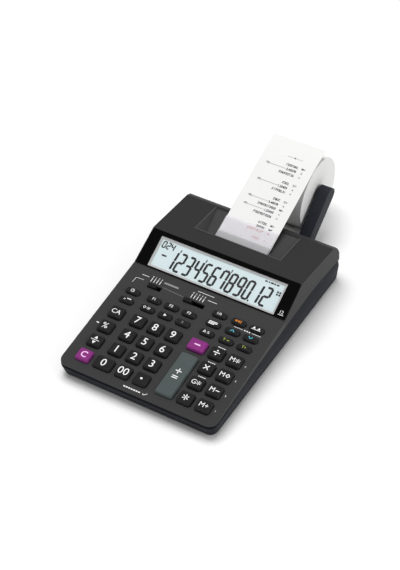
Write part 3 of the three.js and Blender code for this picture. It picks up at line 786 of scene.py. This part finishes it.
def build_lcd(thick):
    """The liquid crystal cell, the sloped bezel around it and its figures."""
    outer, inner = LCD_OUT + 0.1, LCD_OUT - BEZEL_WIDTH
    columns = ((-outer, -outer), (-inner, -inner), (inner, inner), (outer, outer))
    rows = (LCD_LOW - 0.1, LCD_LOW + BEZEL_WIDTH, LCD_HIGH - BEZEL_WIDTH, LCD_HIGH + 0.1)
    bezel = frame_plate(columns, rows, -0.5, 1.5)
    slope = [v for v in bezel.verts if v.co.z > -0.6 and abs(v.co.x) < LCD_OUT - 1
             and rows[0] + 1 < v.co.y < rows[3] - 1]
    bmesh.ops.translate(bezel, vec=(0, 0, -BEZEL_DROP), verts=slope)
    settle(placed(bezel, DISPLAY), "lcd_bezel", "silver", "case")

    glass = block((2 * LCD_OUT, LCD_HIGH - LCD_LOW, 2.6), (0, (LCD_LOW + LCD_HIGH) / 2, -3.2), 0.2)
    settle(placed(glass, DISPLAY), "lcd_cell", "lcd", "case", ["lcd_panel"])

    marks = bmesh.new()
    size = (DIGIT_WIDTH, DIGIT_HEIGHT, DIGIT_THICK)
    for i, character in enumerate("123456789012"):
        x = DIGIT_FIRST + i * DIGIT_PITCH
        absorb(marks, digit(character, x, DIGIT_LOW, *size, thick))
        if i in (0, 3, 6):
            tick = (x + DIGIT_WIDTH + 2.7, DIGIT_LOW + DIGIT_HEIGHT)
            absorb(marks, segment(tick, (tick[0] + 0.35, tick[1] + 3.6), 1.2, thick))
    for i, character in enumerate("024"):
        x = COUNT_FIRST + i * COUNT_PITCH
        absorb(marks, digit(character, x, COUNT_LOW, *COUNT_SIZE, thick))
    absorb(marks, segment((-60.9, 17.0), (-55.2, 17.0), 2.0, thick))
    point_x = DIGIT_FIRST + 9 * DIGIT_PITCH + DIGIT_WIDTH + 1.9
    absorb(marks, polygon(12, 0.95, thick), shifted(point_x, DIGIT_LOW - 0.4))
    for i in range(4):
        absorb(marks, dash(1.9, 1.9, 62.4 + 2.5 * (i % 2), 21.6 + 2.5 * (i // 2), thick))
    for i, width in enumerate((2.6, 1.4, 3.2, 2.0, 2.6)):
        absorb(marks, dash(width, 1.5, 47.2 + 3.1 * i, 30.2, thick))
    settle(placed(marks, DISPLAY @ shifted(z=CELL_FACE)), "lcd_figures", "crystal", "case")


# ---------------------------------------------------------------- keys

CAP_SHOULDER, CAP_WAIST_EDGE, PRINT_GAP = 0.4, 0.35, 0.005
def key_table():
    """Each key's name with its place on the panel and its cap's sizes."""
    table = {}
    for rows, first, pitch, cap in ((LARGE_ROWS, LARGE_FIRST, LARGE_PITCH, LARGE_CAP),
                                    (SMALL_ROWS, SMALL_FIRST, SMALL_PITCH, SMALL_CAP)):
        for i, names in enumerate(rows):
            for column, name in zip(KEY_COLUMNS, names.split()):
                if name != ".":
                    size = SPECIAL_CAPS.get(name, cap)
                    table[name] = (KEY_COLUMNS[column] + size[4], first + i * pitch, size[:4])
    return table


def key_cap(width, depth, corner, height, rim):
    """A cap that tapers above the panel, with its origin at panel level and a flange below."""
    shoulder = height * CAP_SHOULDER
    bm = pill(width, depth, corner, KEY_FLANGE_TOP - 0.1, shoulder)
    bmesh.ops.inset_region(bm, faces=[top_face(bm)], thickness=KEY_INSET,
                           depth=height - shoulder, use_even_offset=True)
    bevelled(bm, top_face(bm).edges, rim, 3)
    waist = [e for e in bm.edges if all(abs(v.co.z - shoulder) < 1e-3 for v in e.verts)]
    bevelled(bm, waist, CAP_WAIST_EDGE, 2)
    flange = pill(width + 2 * KEY_FLANGE_LIP, depth + 2 * KEY_FLANGE_LIP, corner,
                  KEY_FLANGE_LOW, KEY_FLANGE_TOP, 3)
    return absorb(bm, flange)


# A mark is how it is drawn, its finish, its place on the cap and what its drawing needs.
def word(text, height, finish="white", x=0.0, y=0.0, **options):
    return (lettering, finish, (x, y), (text, height), options)


def lines(points, width=0.55, finish="white", x=0.0, y=0.0):
    return (strokes, finish, (x, y), (points, width), {})


def shape_mark(sides, radius, finish="white", x=0.0, y=0.0, **options):
    return (polygon, finish, (x, y), (sides, radius), options)


def outline_of(sides, radius, width, x=0.0, y=0.0, turn=0.0):
    angles = [turn + 2 * pi * i / sides for i in range(sides + 1)]
    return lines([(radius * cos(a), radius * sin(a)) for a in angles], width, x=x, y=y)


LEGENDS = {
    "clear": [word("C", 6.8, "pink", weight=0.02)],
    "clear_all": [word("CA", 5.2)],
    "percent": [word("%", 6.6, x=-0.6)],
    "markup": [shape_mark(3, 2.1, y=2.4), lines([(-4.2, -0.2), (4.2, -0.2)], 0.6),
               shape_mark(3, 2.1, y=-2.8, turn=pi)],
    "point": [shape_mark(16, 1.15)],
    "total": [word("*", 11)],
    "grand_total": [word("G", 5.2, x=-2.3), word("*", 8, x=2.6)],
    "memory_plus": [word("M+", 5.2)],
    "memory_minus": [word("M", 5.2, x=-2.1), lines([(1.6, 0), (5.0, 0)], 0.9)],
    "memory_subtotal": [word("M", 5.2, x=-2.3), outline_of(4, 1.9, 0.8, x=3.3)],
    "memory_total": [word("M", 5.2, x=-2.3), word("*", 8, x=3.1)],
    "multiply": [lines([(-2.2, -2.2), (2.2, 2.2)], 1.0), lines([(-2.2, 2.2), (2.2, -2.2)], 1.0)],
    "divide": [lines([(-3.0, 0), (3.0, 0)], 1.0), shape_mark(12, 0.85, y=2.3),
               shape_mark(12, 0.85, y=-2.3)],
    "minus": [lines([(-2.7, 0), (2.7, 0)], 1.35, "pink")],
    "plus_equals": [lines([(-2.8, 3.6), (2.8, 3.6)], 0.95), lines([(0, 0.8), (0, 6.4)], 0.95),
                    lines([(-2.6, -2.6), (2.6, -2.6)], 0.95), lines([(-2.6, -4.6), (2.6, -4.6)], 0.95)],
    "item_count": [word("n", 2.8, x=-1.6), lines([(0.6, 1.5), (4.6, 1.5)], 0.9)],
    "subtotal": [outline_of(4, 1.35, 0.5, x=-3.0), word("/#", 3.0, x=1.3)],
    "shift_right": [shape_mark(3, 1.8, turn=-pi / 2)],
    "percent_change": [word("%", 2.7, "faint")],
    "delta_percent": [outline_of(3, 1.5, 0.5, x=-2.3, turn=pi / 2), word("%", 2.9, x=1.7)],
    "tax_minus": [word("T", 3.0, "lime", x=-1.8), lines([(0.9, 0), (3.3, 0)], 0.65, "lime")],
    "tax_plus": [word("T+", 3.0, "lime")],
    "clock": [outline_of(16, 1.75, 0.45), lines([(0, 1.1), (0, 0), (0.9, 0)], 0.4)],
    "cost": [word("F1", 3.1)],
    "sell": [word("F2", 3.1)],
    "margin": [word("F3", 3.1)],
    "direct_print": [lines([(-4.2, 1.1), (4.2, 1.1)], 0.8), lines([(-4.2, -0.3), (4.2, -0.3)], 0.8),
                     lines([(-4.2, -1.6), (1.5, -1.6)], 0.8)],
    "review_up": [lines([(-1.9, -1.0), (0, 1.0), (1.9, -1.0)], 0.85, "cyan")],
    "review_down": [lines([(-1.9, 1.0), (0, -1.0), (1.9, 1.0)], 0.85, "cyan")],
    "print_on": [word("1/0", 3.0)],
    "reprint": [shape_mark(3, 1.7, "orange", x=-2.4, turn=pi / 2),
                shape_mark(3, 1.7, "orange", x=0.3, turn=pi / 2),
                lines([(2.4, -1.3), (2.4, 1.3)], 0.8, "orange")],
    "paper_feed": [shape_mark(3, 1.6, x=-2.5), shape_mark(3, 1.6, x=2.5),
                   lines([(-4.4, -1.7), (4.4, -1.7)], 0.6)],
}
LEGENDS.update({name: [word(name, 8.2)] for name in ("0", "00", *"123456789")})


def draw_legend(marks, thick):
    """A cap's marks as a single shape."""
    bm = bmesh.new()
    for draw, _, (x, y), data, options in marks:
        absorb(bm, draw(*data, thick, **options), shifted(x, y))
    return bm


def build_keys(shape):
    for name, (x, along, size) in key_table().items():
        finish = ("key_purple" if name in PURPLE_KEYS
                  else "key_grey" if name == "plus_equals" else "key_dark")
        place = PANEL @ shifted(x, along)
        body = f"key_{name}"
        cap = placed(key_cap(*size, shape.rim), place)
        settle(cap, f"cap_{name}", finish, body, [body])
        marks = LEGENDS[name]
        legend = draw_legend(marks, shape.letter_raise)
        placed(legend, place @ shifted(z=size[3] + PRINT_GAP))
        settle(legend, f"legend_{name}", marks[0][1], body)


# ---------------------------------------------------------------- switches and panel marks

TICK_LENGTH, TICK_WIDTH, RULE_WIDTH, CODE_ROW, CODE_HEIGHT = 4.2, 0.6, 0.35, 127.4, 2.0
REVIEW_ROW = 109.2
def build_switches():
    for name, x in (("mode_switch_knob", MODE_REST), ("decimal_switch_knob", DECIMAL_REST)):
        cap = pill(9, 4.4, 0.8, -3.9, 2.6, 3)
        bevelled(cap, top_face(cap).edges, 0.5, 2)
        for i in range(5):
            absorb(cap, block((0.5, 3.4, 0.5), (-2.4 + 1.2 * i, 0, 2.65), 0.12))
        absorb(cap, block((9, 10.2, 1.2), (0, 0, -3.3), 0.15))
        placed(cap, PANEL @ shifted(x, SWITCH_ROW))
        settle(cap, f"{name}_grip", "key_dark", name, [name])


def build_panel_marks(thick):
    white, faint = bmesh.new(), bmesh.new()
    for ticks, low in ((MODE_TICKS, 121.4), (DECIMAL_TICKS, 121.2)):
        for x in ticks:
            absorb(white, stroke((x, low), (x, low + TICK_LENGTH), TICK_WIDTH, thick))
    absorb(white, strokes(((-70.7, 113.4), (-69.9, 119.6), (-62, 120.3)), RULE_WIDTH, thick))
    absorb(faint, stroke((-40.5, 119.9), (-18.1, 118.6), RULE_WIDTH, thick))
    # Short number codes stand where a maker prints the names of the switch positions.
    for ticks, codes in ((MODE_TICKS, "0123"), (DECIMAL_TICKS, "02346")):
        for x, code in zip(ticks, codes):
            absorb(white, lettering(code, CODE_HEIGHT, thick), shifted(x, CODE_ROW))
    absorb(faint, block((15.5, 1.9, thick), (-34.5, 125.6, thick / 2), 0.01))
    for x0, x1, along in ((5.5, 15.1, 125.4), (-66.5, -59, 125.4), (-8.4, 9.0, 131.0),
                          (43, 51.5, REVIEW_ROW), (61.5, 70.5, REVIEW_ROW)):
        absorb(white, stroke((x0, along), (x1, along), 0.45, thick))
    for i, along in enumerate((72.9, 54.6, 36.2, 17.9)):
        absorb(white, lettering(str(4 - i), 1.9, thick), shifted(74.6, along))
    for along in (81.9, 63.0, 44.9):
        for i in range(4):
            absorb(white, dash(1.3, 0.9, 42.2 + 2 * i, along, thick))
    absorb(white, dash(2.6, 1.2, -73.8, 56.6, thick))
    # A row of dashes and a tick along the front edge, and the line that joins the two review keys.
    for i in range(7):
        absorb(white, dash(1.9, 1.3, -12.6 + 2.6 * i, 4.7, thick))
    absorb(white, strokes(((6.6, 4.9), (8.0, 3.7), (10.6, 6.3)), TICK_WIDTH, thick))
    for i in range(3):
        absorb(white, dash(1.5, 1.1, 54.0 + 2.4 * i, REVIEW_ROW, thick))
    for bm, name, finish in ((white, "panel_print", "white"), (faint, "panel_print_grey", "faint")):
        settle(placed(bm, PANEL @ shifted(z=PRINT_GAP)), name, finish, "case")


# ---------------------------------------------------------------- printer and paper

def smooth_path(points, steps=8):
    """A curve through all the points, as a list of close points."""
    padded = [points[0], *points, points[-1]]
    path = []
    for four in zip(padded, padded[1:], padded[2:], padded[3:]):
        for k in range(steps):
            t = k / steps
            weights = ((-t + 2 * t * t - t ** 3) / 2, (2 - 5 * t * t + 3 * t ** 3) / 2,
                       (t + 4 * t * t - 3 * t ** 3) / 2, (t ** 3 - t * t) / 2)
            path.append(sum((Vector(p) * w for p, w in zip(four, weights)), Vector((0, 0))))
    return [*path, Vector(points[-1])]


class Route:
    """A path in side view that flat shapes can be bent along."""

    def __init__(self, points):
        self.points = smooth_path(points)
        self.lengths = [0.0]
        for a, b in zip(self.points, self.points[1:]):
            self.lengths.append(self.lengths[-1] + (b - a).length)
        self.total = self.lengths[-1]

    def length_to(self, point):
        """The length along the path to the place that is nearest to a point."""
        away = [(step - Vector(point)).length for step in self.points]
        return self.lengths[away.index(min(away))]

    def at(self, along, height):
        """The point at a length along the path and a height square to it."""
        along = min(max(along, 0.0), self.total)
        last = len(self.lengths) - 1
        i = max(1, next((k for k, s in enumerate(self.lengths) if s >= along), last))
        a, b = self.points[i - 1], self.points[i]
        share = (along - self.lengths[i - 1]) / max(1e-6, self.lengths[i] - self.lengths[i - 1])
        point = a.lerp(b, share)
        lead = (b - a).normalized()
        return point.x - lead.y * height, point.y + lead.x * height

    def bend(self, bm, curl=0.0):
        """Turns a flat shape, drawn with Y along the path, into one that follows it."""
        for vert in bm.verts:
            x, along, height = vert.co
            y, z = self.at(along, height + curl * (x / PAPER_WIDTH * 2) ** 2)
            vert.co = (x, y, z)
        return bm


PRINT_ROWS = (
    # Distance from the tear bar, number, symbol, ink, and whether a rule leads up to the number.
    (97.1, "1'250'360.", "M+", "ink", False),
    (92.2, "2.45078", "x", "ink", True),
    (87.3, "3'064'357.26", "=", "ink", False),
    (77.5, "4'302.", "G+", "ink", False),
    (72.6, "1.20405", "x", "ink", True),
    (67.7, "5'179'82.31", "*", "ink", False),
    (57.9, "5'807.", "G+", "ink", False),
    (53.0, "3.40078", "x", "ink", True),
    (48.1, "2'003'817.0020", "M+", "ink", False),
    (43.2, "1.23450", "+", "ink", True),
    (38.3, "7'303'027.0226", "=", "ink", False),
    (29.2, "61'720.", "M+", "ink", False),
    (24.6, "20'030.", "M*", "ink", False),
    (20.2, "-6'027'190.27", "M", "red_ink", False),
    (12.2, "-2'450.", "x", "red_ink", False),
)


def paper_sheet(route, curl=0.0):
    """A strip of paper along a whole route."""
    bm = bmesh.new()
    steps = max(12, int(route.total / 1.6))
    bmesh.ops.create_grid(bm, x_segments=8, y_segments=steps, size=0.5)
    bmesh.ops.scale(bm, vec=(PAPER_WIDTH, route.total, 1), verts=bm.verts)
    bmesh.ops.translate(bm, vec=(0, route.total / 2, 0), verts=bm.verts)
    route.bend(bm, curl)
    bmesh.ops.recalc_face_normals(bm, faces=bm.faces)
    bmesh.ops.solidify(bm, geom=bm.faces[:], thickness=PAPER_THICK)
    bmesh.ops.recalc_face_normals(bm, faces=bm.faces)
    return bm


# Printed figures end at this X and their symbols stand further right. Ink lies on the paper.
FIGURE_END, SYMBOL_X, CODE_X, HEADER_ALONG = 12.4, 18.4, -18.6, 106.0
FIGURE_HEIGHT, INK_THICK, INK_LIFT = 2.6, 0.02, 0.16
def build_strip():
    route = Route(STRIP_PATH)
    exit_at = route.length_to(STRIP_EXIT)
    tear_bar = exit_at + STRIP_LEAD
    settle(paper_sheet(route, PAPER_CURL), "printed_strip", "paper", "case",
           ["paper_strip"], smooth=60)
    prints = {"ink": bmesh.new(), "red_ink": bmesh.new()}
    for along, number, symbol, ink, ruled in PRINT_ROWS:
        row, y = prints[ink], tear_bar + along
        figures = lettering(number, FIGURE_HEIGHT, INK_THICK, weight=0.03, squeeze=0.92)
        width = max(v.co.x for v in figures.verts) * 2
        absorb(row, figures, shifted(FIGURE_END - width / 2, y))
        absorb(row, lettering(symbol, 2.4, INK_THICK, weight=0.01), shifted(SYMBOL_X, y))
        if ruled:
            absorb(row, stroke((-16.5, y), (FIGURE_END - 1 - width, y), 0.22, INK_THICK))
            absorb(row, lettering("00)", 2.1, INK_THICK), shifted(CODE_X, y))
    header = tear_bar + HEADER_ALONG
    absorb(prints["ink"], stroke((-3.6, header), (13.2, header), 0.16, INK_THICK))
    absorb(prints["ink"], polygon(4, 1.0, INK_THICK), shifted(4.8, header))
    # The row under the frosted band is still too near the ribbon to read.
    for i in range(9):
        absorb(prints["ink"], dash(1.7, 1.5, -6 + 2.6 * i, exit_at + 3.0, INK_THICK))
    for ink, bm in prints.items():
        long_edges = [e for e in bm.edges if abs(e.verts[0].co.y - e.verts[1].co.y) > 0.8]
        bmesh.ops.subdivide_edges(bm, edges=long_edges, cuts=1)
        route.bend(placed(bm, shifted(z=INK_LIFT)), PAPER_CURL)
        settle(bm, f"strip_{ink}", ink, "case")


def build_roll():
    half = PAPER_WIDTH / 2
    roll = tube((CORE_RADIUS, ROLL_RADIUS), -half, half, (ROLL_Y, ROLL_Z), 96)
    # The ends take the ring finish, which is painted lighter than the paper: painted light.
    for face in roll.faces:
        face.material_index = 1 if abs(face.normal.x) > 0.7 else 0
    bevelled(roll, sharp(roll, 60), 0.25, 2)
    settle(roll, "roll_body", "paper turns", "paper_roll", ["paper_roll"], smooth=40)
    core = tube((CORE_BORE, CORE_RADIUS - 0.05), -half + 0.2, half - 0.2, (ROLL_Y, ROLL_Z))
    settle(core, "roll_core", "card", "paper_roll")


def build_web():
    """The paper that leaves the roll low down and rises into the slot behind the case."""
    centre, slot = Vector((ROLL_Y, ROLL_Z)), Vector((INLET_Y, INLET_Z))
    gap = centre - slot
    reach = (gap.length ** 2 - ROLL_RADIUS ** 2) ** 0.5
    heading = atan2(gap.y, gap.x) - atan2(ROLL_RADIUS, reach)
    contact = slot + Vector((cos(heading), sin(heading))) * (reach - 1.0)
    contact += Vector((-sin(heading), cos(heading))) * -0.35
    sheet = paper_sheet(Route((slot, slot.lerp(contact, 0.5), contact)))
    web = settle(sheet, "paper_web", "paper", None, smooth=60)
    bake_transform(web)


# The left arm is cut off here, in line with the strip above it.
LEFT_ARM_OUT, LEFT_ARM_MIDDLE = 40.0, 35.65
ARM_INNER, ARM_EDGE = 31.0, 1.4
RIB_FIRST, RIB_PITCH, RIB_DROP = 43.0, 2.6, -4.9
def build_arms():
    lead = Vector((0, ROLL_Y - ARM_PIVOT[0], ROLL_Z - ARM_PIVOT[1])).normalized()
    under = Vector((0, lead.z, -lead.y))
    along = shifted(0, *ARM_PIVOT) @ Matrix.Rotation(atan2(lead.z, lead.y), 4, "X")
    for name, rib_x in (("roll_arm_left", -LEFT_ARM_MIDDLE), ("roll_arm_right", ARM_MIDDLE)):
        bm = copy_of(name)
        for vert in bm.verts:
            vert.co.x = max(vert.co.x, -LEFT_ARM_OUT)
        bevelled(bm, sharp(bm, 50, lambda p: abs(p.x) > ARM_INNER + 1), ARM_EDGE, 3)
        for vert in bm.verts:
            away = vert.co - Vector((vert.co.x, *ARM_PIVOT))
            slim = ARM_SLIM * max(0.0, min(1.0, away.dot(lead) / ARM_SLIM_REACH))
            if abs(vert.co.x) > ARM_INNER and away.dot(under) > 0:
                vert.co -= under * away.dot(under) * slim
        # Grip ribs on the edge near the tip.
        for i in range(4):
            rib = block((8.5, 1.0, 1.6), (rib_x, RIB_FIRST + RIB_PITCH * i, RIB_DROP), 0.3)
            absorb(bm, rib, along)
        settle(bm, f"{name}_bar", "arm", name, [name])


def build_chute():
    tray = copy_of("printer_cover")
    bevelled(tray, sharp(tray, 40, lambda p: p.z > 44), 0.3, 2)
    settle(tray, "chute_tray", "tray", "case", ["printer_cover"])
    cover = copy_of("tear_cover")
    bevelled(cover, sharp(cover, 60), 0.2, 2)
    settle(cover, "tear_window", "smoked", "tear_cover", ["tear_cover"])


# Each roller's half length, its shaft's radius, its finishes and its slot.
ROLLERS = {
    "platen_roller": (31, 2.4, "rubber steel", "platen_rubber"),
    "ink_roller": (29, 1.9, "ink_felt steel", "ink_felt"),
}
SHAFT_HALF = 44.5
def build_printer():
    chassis = copy_of("printer_frame")
    bevelled(chassis, sharp(chassis, 60), 0.25, 1)
    settle(chassis, "printer_chassis", "steel", "case", ["printer_frame"])
    for name, (half, shaft, finishes, slot) in ROLLERS.items():
        low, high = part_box(name)
        centre = ((low.y + high.y) / 2 / MM - FRONT, (low.z + high.z) / 2 / MM)
        bm = bar((high.z - low.z) / 2 / MM - 0.02, -half, half, centre, 48, 0.5)
        absorb(bm, bar(shaft, -SHAFT_HALF, SHAFT_HALF, centre, 20, 0.3), finish=1)
        settle(bm, f"{name}_turned", finishes, name, [name])


# ---------------------------------------------------------------- underside, back and inside



FOOT_X, FOOT_ROWS, SCREWS = 67.5, (15, 235), ((73, 18), (73, 132), (71.5, 226))
CELL_FIRST, CELL_PITCH, CELL_Z, CELL_RADIUS = 193.8, 14.9, 11.4, 6.6


def build_underside():
    rubber, screws, cells = bmesh.new(), bmesh.new(), bmesh.new()
    for side in (-1, 1):
        for y in FOOT_ROWS:
            absorb(rubber, disc(5.2, 0, 0.5, shifted(side * FOOT_X, y, 0.02), 32, 0.2))
    settle(rubber, "foot_pads", "rubber", "case")
    for x, y in SCREWS:
        for side in (-1, 1):
            place = shifted(side * x, y, 1.85) @ Matrix.Rotation(pi, 4, "X")
            absorb(screws, disc(2.4, -1.2, 0, place, 24, 0.3))
    settle(screws, "case_screws", "steel", "case")
    door = copy_of("battery_door")
    bevelled(door, sharp(door, 60), 0.35, 2)
    for i in range(6):
        absorb(door, block((22 - 2 * i, 1.0, 0.8), (0, 226 + 2.4 * i, 1.95), 0.2))
    settle(door, "battery_lid", "lower", "battery_door", ["battery_door"])
    for i in range(4):
        y = CELL_FIRST + CELL_PITCH * i
        absorb(cells, bar(CELL_RADIUS, -24.5, 24.0, (y, CELL_Z), 32, 0.5), finish=0)
        absorb(cells, bar(2.6, 24.0, 25.2, (y, CELL_Z), 20, 0.3), finish=1)
        for contact_x in (-26.2, 27.2):
            absorb(cells, block((0.5, 8, 8), (contact_x, y, CELL_Z), 0.1), finish=1)
    settle(cells, "battery_cells", "cell steel", "case")


MAT_SIZE, MAT_MIDDLE = (138, 112, 0.9), (0, 63.5, -7.45)
DOME_WIDTH, DOME_DEPTH, DOME_LOW, DOME_TOP = 8, 5, -7.1, -6.05
JACK_X, JACK_Z, JACK_LENGTH = 62, 15, 9


def build_inside():
    mat = block(MAT_SIZE, MAT_MIDDLE, 0.2)
    for x, along, (width, depth, *_) in key_table().values():
        dome = pill(min(width, DOME_WIDTH), min(depth, DOME_DEPTH), 1.5, DOME_LOW, DOME_TOP, 3)
        absorb(mat, dome, shifted(x, along))
    settle(placed(mat, PANEL), "key_mat", "rubber", "case")
    board = copy_of("circuit_board")
    bevelled(board, sharp(board, 60), 0.15, 1)
    settle(board, "main_board", "board", "case", ["circuit_board"])
    jack = bmesh.new()
    turn = shifted(JACK_X, CASE_DEPTH - 1.5, JACK_Z) @ Matrix.Rotation(pi / 2, 4, "Z")
    absorb(jack, tube((2.7, 4.1), -JACK_LENGTH, 0, (0, 0), 32), turn)
    absorb(jack, bar(0.9, -JACK_LENGTH, -1, (0, 0), 16, 0.2), turn)
    settle(jack, "adapter_jack", "dark", "case")


# ---------------------------------------------------------------- stage

CAMERA_PLACE, CAMERA_AHEAD = (555.9, -834.85, 1078.3), (-0.3697, 0.6341, -0.6792)
CAMERA_LENS = 145.85
# Each lamp's place in metres and its power in watts.
LAMPS = {"key_light": ((-0.35, 0.1, 2.0), 32), "left_light": ((-1.4, -1.2, 1.0), 3),
         "right_light": ((1.7, 0.1, 0.7), 9)}
LAMP_SIZE, LAMP_AIM, SKY_STRENGTH, FLOOR_HALF = 1.2, Vector((0, 0, 0.03)), 0.45, 4


def link(name, data):
    thing = bpy.data.objects.new(name, data)
    bpy.context.scene.collection.objects.link(thing)
    return thing


def lay_floor(colour):
    bm = bmesh.new()
    bmesh.ops.create_grid(bm, x_segments=1, y_segments=1, size=FLOOR_HALF)
    mesh = bpy.data.meshes.new("floor")
    bm.to_mesh(mesh)
    bm.free()
    shader = Shader("floor_paint", Roughness=0.9)
    clouds = shader.noise(180, 3)
    shader.feed("Base Color", shader.blend(clouds, tinted(colour, 0.98), colour))
    mesh.materials.append(shader.material)
    link("floor", mesh)


def set_lights(strength):
    world = bpy.data.worlds.new("studio")
    world.use_nodes = True
    background = world.node_tree.nodes["Background"]
    background.inputs["Color"].default_value = (1, 1, 1, 1)
    background.inputs["Strength"].default_value = SKY_STRENGTH * strength
    bpy.context.scene.world = world
    for name, (place, power) in LAMPS.items():
        lamp = bpy.data.lights.new(name, "AREA")
        lamp.size, lamp.energy = LAMP_SIZE, power * strength
        holder = link(name, lamp)
        holder.location = place
        # The glossy window would mirror the light overhead and turn grey.
        holder.visible_glossy = name != "key_light"
        aim = LAMP_AIM - Vector(place)
        holder.rotation_euler = aim.to_track_quat("-Z", "Y").to_euler()


def set_camera():
    lens = bpy.data.cameras.new("camera")
    lens.sensor_fit, lens.sensor_width, lens.lens = "HORIZONTAL", 36, CAMERA_LENS
    lens.clip_start, lens.clip_end = 0.05, 50
    camera = link("camera", lens)
    camera.location = PLACE @ Vector(CAMERA_PLACE)
    camera.rotation_euler = Vector(CAMERA_AHEAD).to_track_quat("-Z", "Y").to_euler()
    bpy.context.scene.camera = camera
    bpy.context.scene.view_settings.view_transform = "Standard"


# ---------------------------------------------------------------- operators

class CALCULATOR_OT_stage(bpy.types.Operator):
    """Lay the floor, and set the lights and the camera"""
    bl_idname = "calculator.stage"
    bl_label = "Stage"

    def execute(self, context):
        stage = context.scene.calculator_stage
        lay_floor(stage.floor)
        set_lights(stage.light)
        set_camera()
        return {"FINISHED"}


class CALCULATOR_OT_finishes(bpy.types.Operator):
    """Make every finish from the colours"""
    bl_idname = "calculator.finishes"
    bl_label = "Finishes"

    def execute(self, context):
        make_finishes(context.scene.calculator_finish)
        return {"FINISHED"}


class CALCULATOR_OT_case(bpy.types.Operator):
    """Build the two halves of the case"""
    bl_idname = "calculator.case"
    bl_label = "Case"

    def execute(self, context):
        build_upper_case(context.scene.calculator_shape.edge)
        build_lower_case()
        return {"FINISHED"}


class CALCULATOR_OT_display(bpy.types.Operator):
    """Build the display with its border, bezel and figures"""
    bl_idname = "calculator.display"
    bl_label = "Display"

    def execute(self, context):
        thick = context.scene.calculator_shape.letter_raise
        build_window()
        build_lcd(thick)
        build_badge(thick)
        return {"FINISHED"}


class CALCULATOR_OT_keys(bpy.types.Operator):
    """Build the key caps and their legends"""
    bl_idname = "calculator.keys"
    bl_label = "Keys"

    def execute(self, context):
        build_keys(context.scene.calculator_shape)
        return {"FINISHED"}


class CALCULATOR_OT_switches(bpy.types.Operator):
    """Build the two slide switches and the print on the panel"""
    bl_idname = "calculator.switches"
    bl_label = "Switches and panel print"

    def execute(self, context):
        build_switches()
        build_panel_marks(context.scene.calculator_shape.letter_raise)
        return {"FINISHED"}


class CALCULATOR_OT_printer(bpy.types.Operator):
    """Build the printer's frame and rollers, the paper chute and the tear cover"""
    bl_idname = "calculator.printer"
    bl_label = "Printer"

    def execute(self, context):
        build_printer()
        build_chute()
        return {"FINISHED"}


class CALCULATOR_OT_paper(bpy.types.Operator):
    """Build the paper roll, its web and the printed strip"""
    bl_idname = "calculator.paper"
    bl_label = "Paper"

    def execute(self, context):
        build_strip()
        build_roll()
        build_web()
        return {"FINISHED"}


class CALCULATOR_OT_arms(bpy.types.Operator):
    """Build the two arms that carry the roll"""
    bl_idname = "calculator.arms"
    bl_label = "Roll arms"

    def execute(self, context):
        build_arms()
        return {"FINISHED"}


class CALCULATOR_OT_underside(bpy.types.Operator):
    """Build the feet, screws, battery lid and cells"""
    bl_idname = "calculator.underside"
    bl_label = "Underside"

    def execute(self, context):
        build_underside()
        return {"FINISHED"}


class CALCULATOR_OT_inside(bpy.types.Operator):
    """Build the key mat, the circuit board and the adapter jack"""
    bl_idname = "calculator.inside"
    bl_label = "Inside"

    def execute(self, context):
        build_inside()
        return {"FINISHED"}


OPERATORS = (
    CALCULATOR_OT_stage, CALCULATOR_OT_finishes, CALCULATOR_OT_case, CALCULATOR_OT_display,
    CALCULATOR_OT_keys, CALCULATOR_OT_switches, CALCULATOR_OT_printer, CALCULATOR_OT_paper,
    CALCULATOR_OT_arms, CALCULATOR_OT_underside, CALCULATOR_OT_inside,
)


class CALCULATOR_PT_panel(bpy.types.Panel):
    """Lists the calculator's settings and pieces"""
    bl_idname = "CALCULATOR_PT_panel"
    bl_label = "Calculator"
    bl_space_type = "VIEW_3D"
    bl_region_type = "UI"
    bl_category = "Calculator"

    def draw(self, context):
        for group in (context.scene.calculator_finish, context.scene.calculator_shape,
                      context.scene.calculator_stage):
            for name in group.bl_rna.properties.keys():
                if name not in {"rna_type", "name"}:
                    self.layout.prop(group, name)
        for operator in OPERATORS:
            self.layout.operator(operator.bl_idname)


CLASSES = (FinishSettings, ShapeSettings, StageSettings, *OPERATORS, CALCULATOR_PT_panel)
SETTINGS = {"calculator_finish": FinishSettings, "calculator_shape": ShapeSettings,
            "calculator_stage": StageSettings}


def register():
    for cls in CLASSES:
        bpy.utils.register_class(cls)
    for name, group in SETTINGS.items():
        setattr(bpy.types.Scene, name, bpy.props.PointerProperty(type=group))


def unregister():
    for name in SETTINGS:
        delattr(bpy.types.Scene, name)
    for cls in reversed(CLASSES):
        bpy.utils.unregister_class(cls)


def main():
    register()
    for operator in OPERATORS:
        group, name = operator.bl_idname.split(".")
        getattr(getattr(bpy.ops, group), name)()


if __name__ == "__main__":
    main()
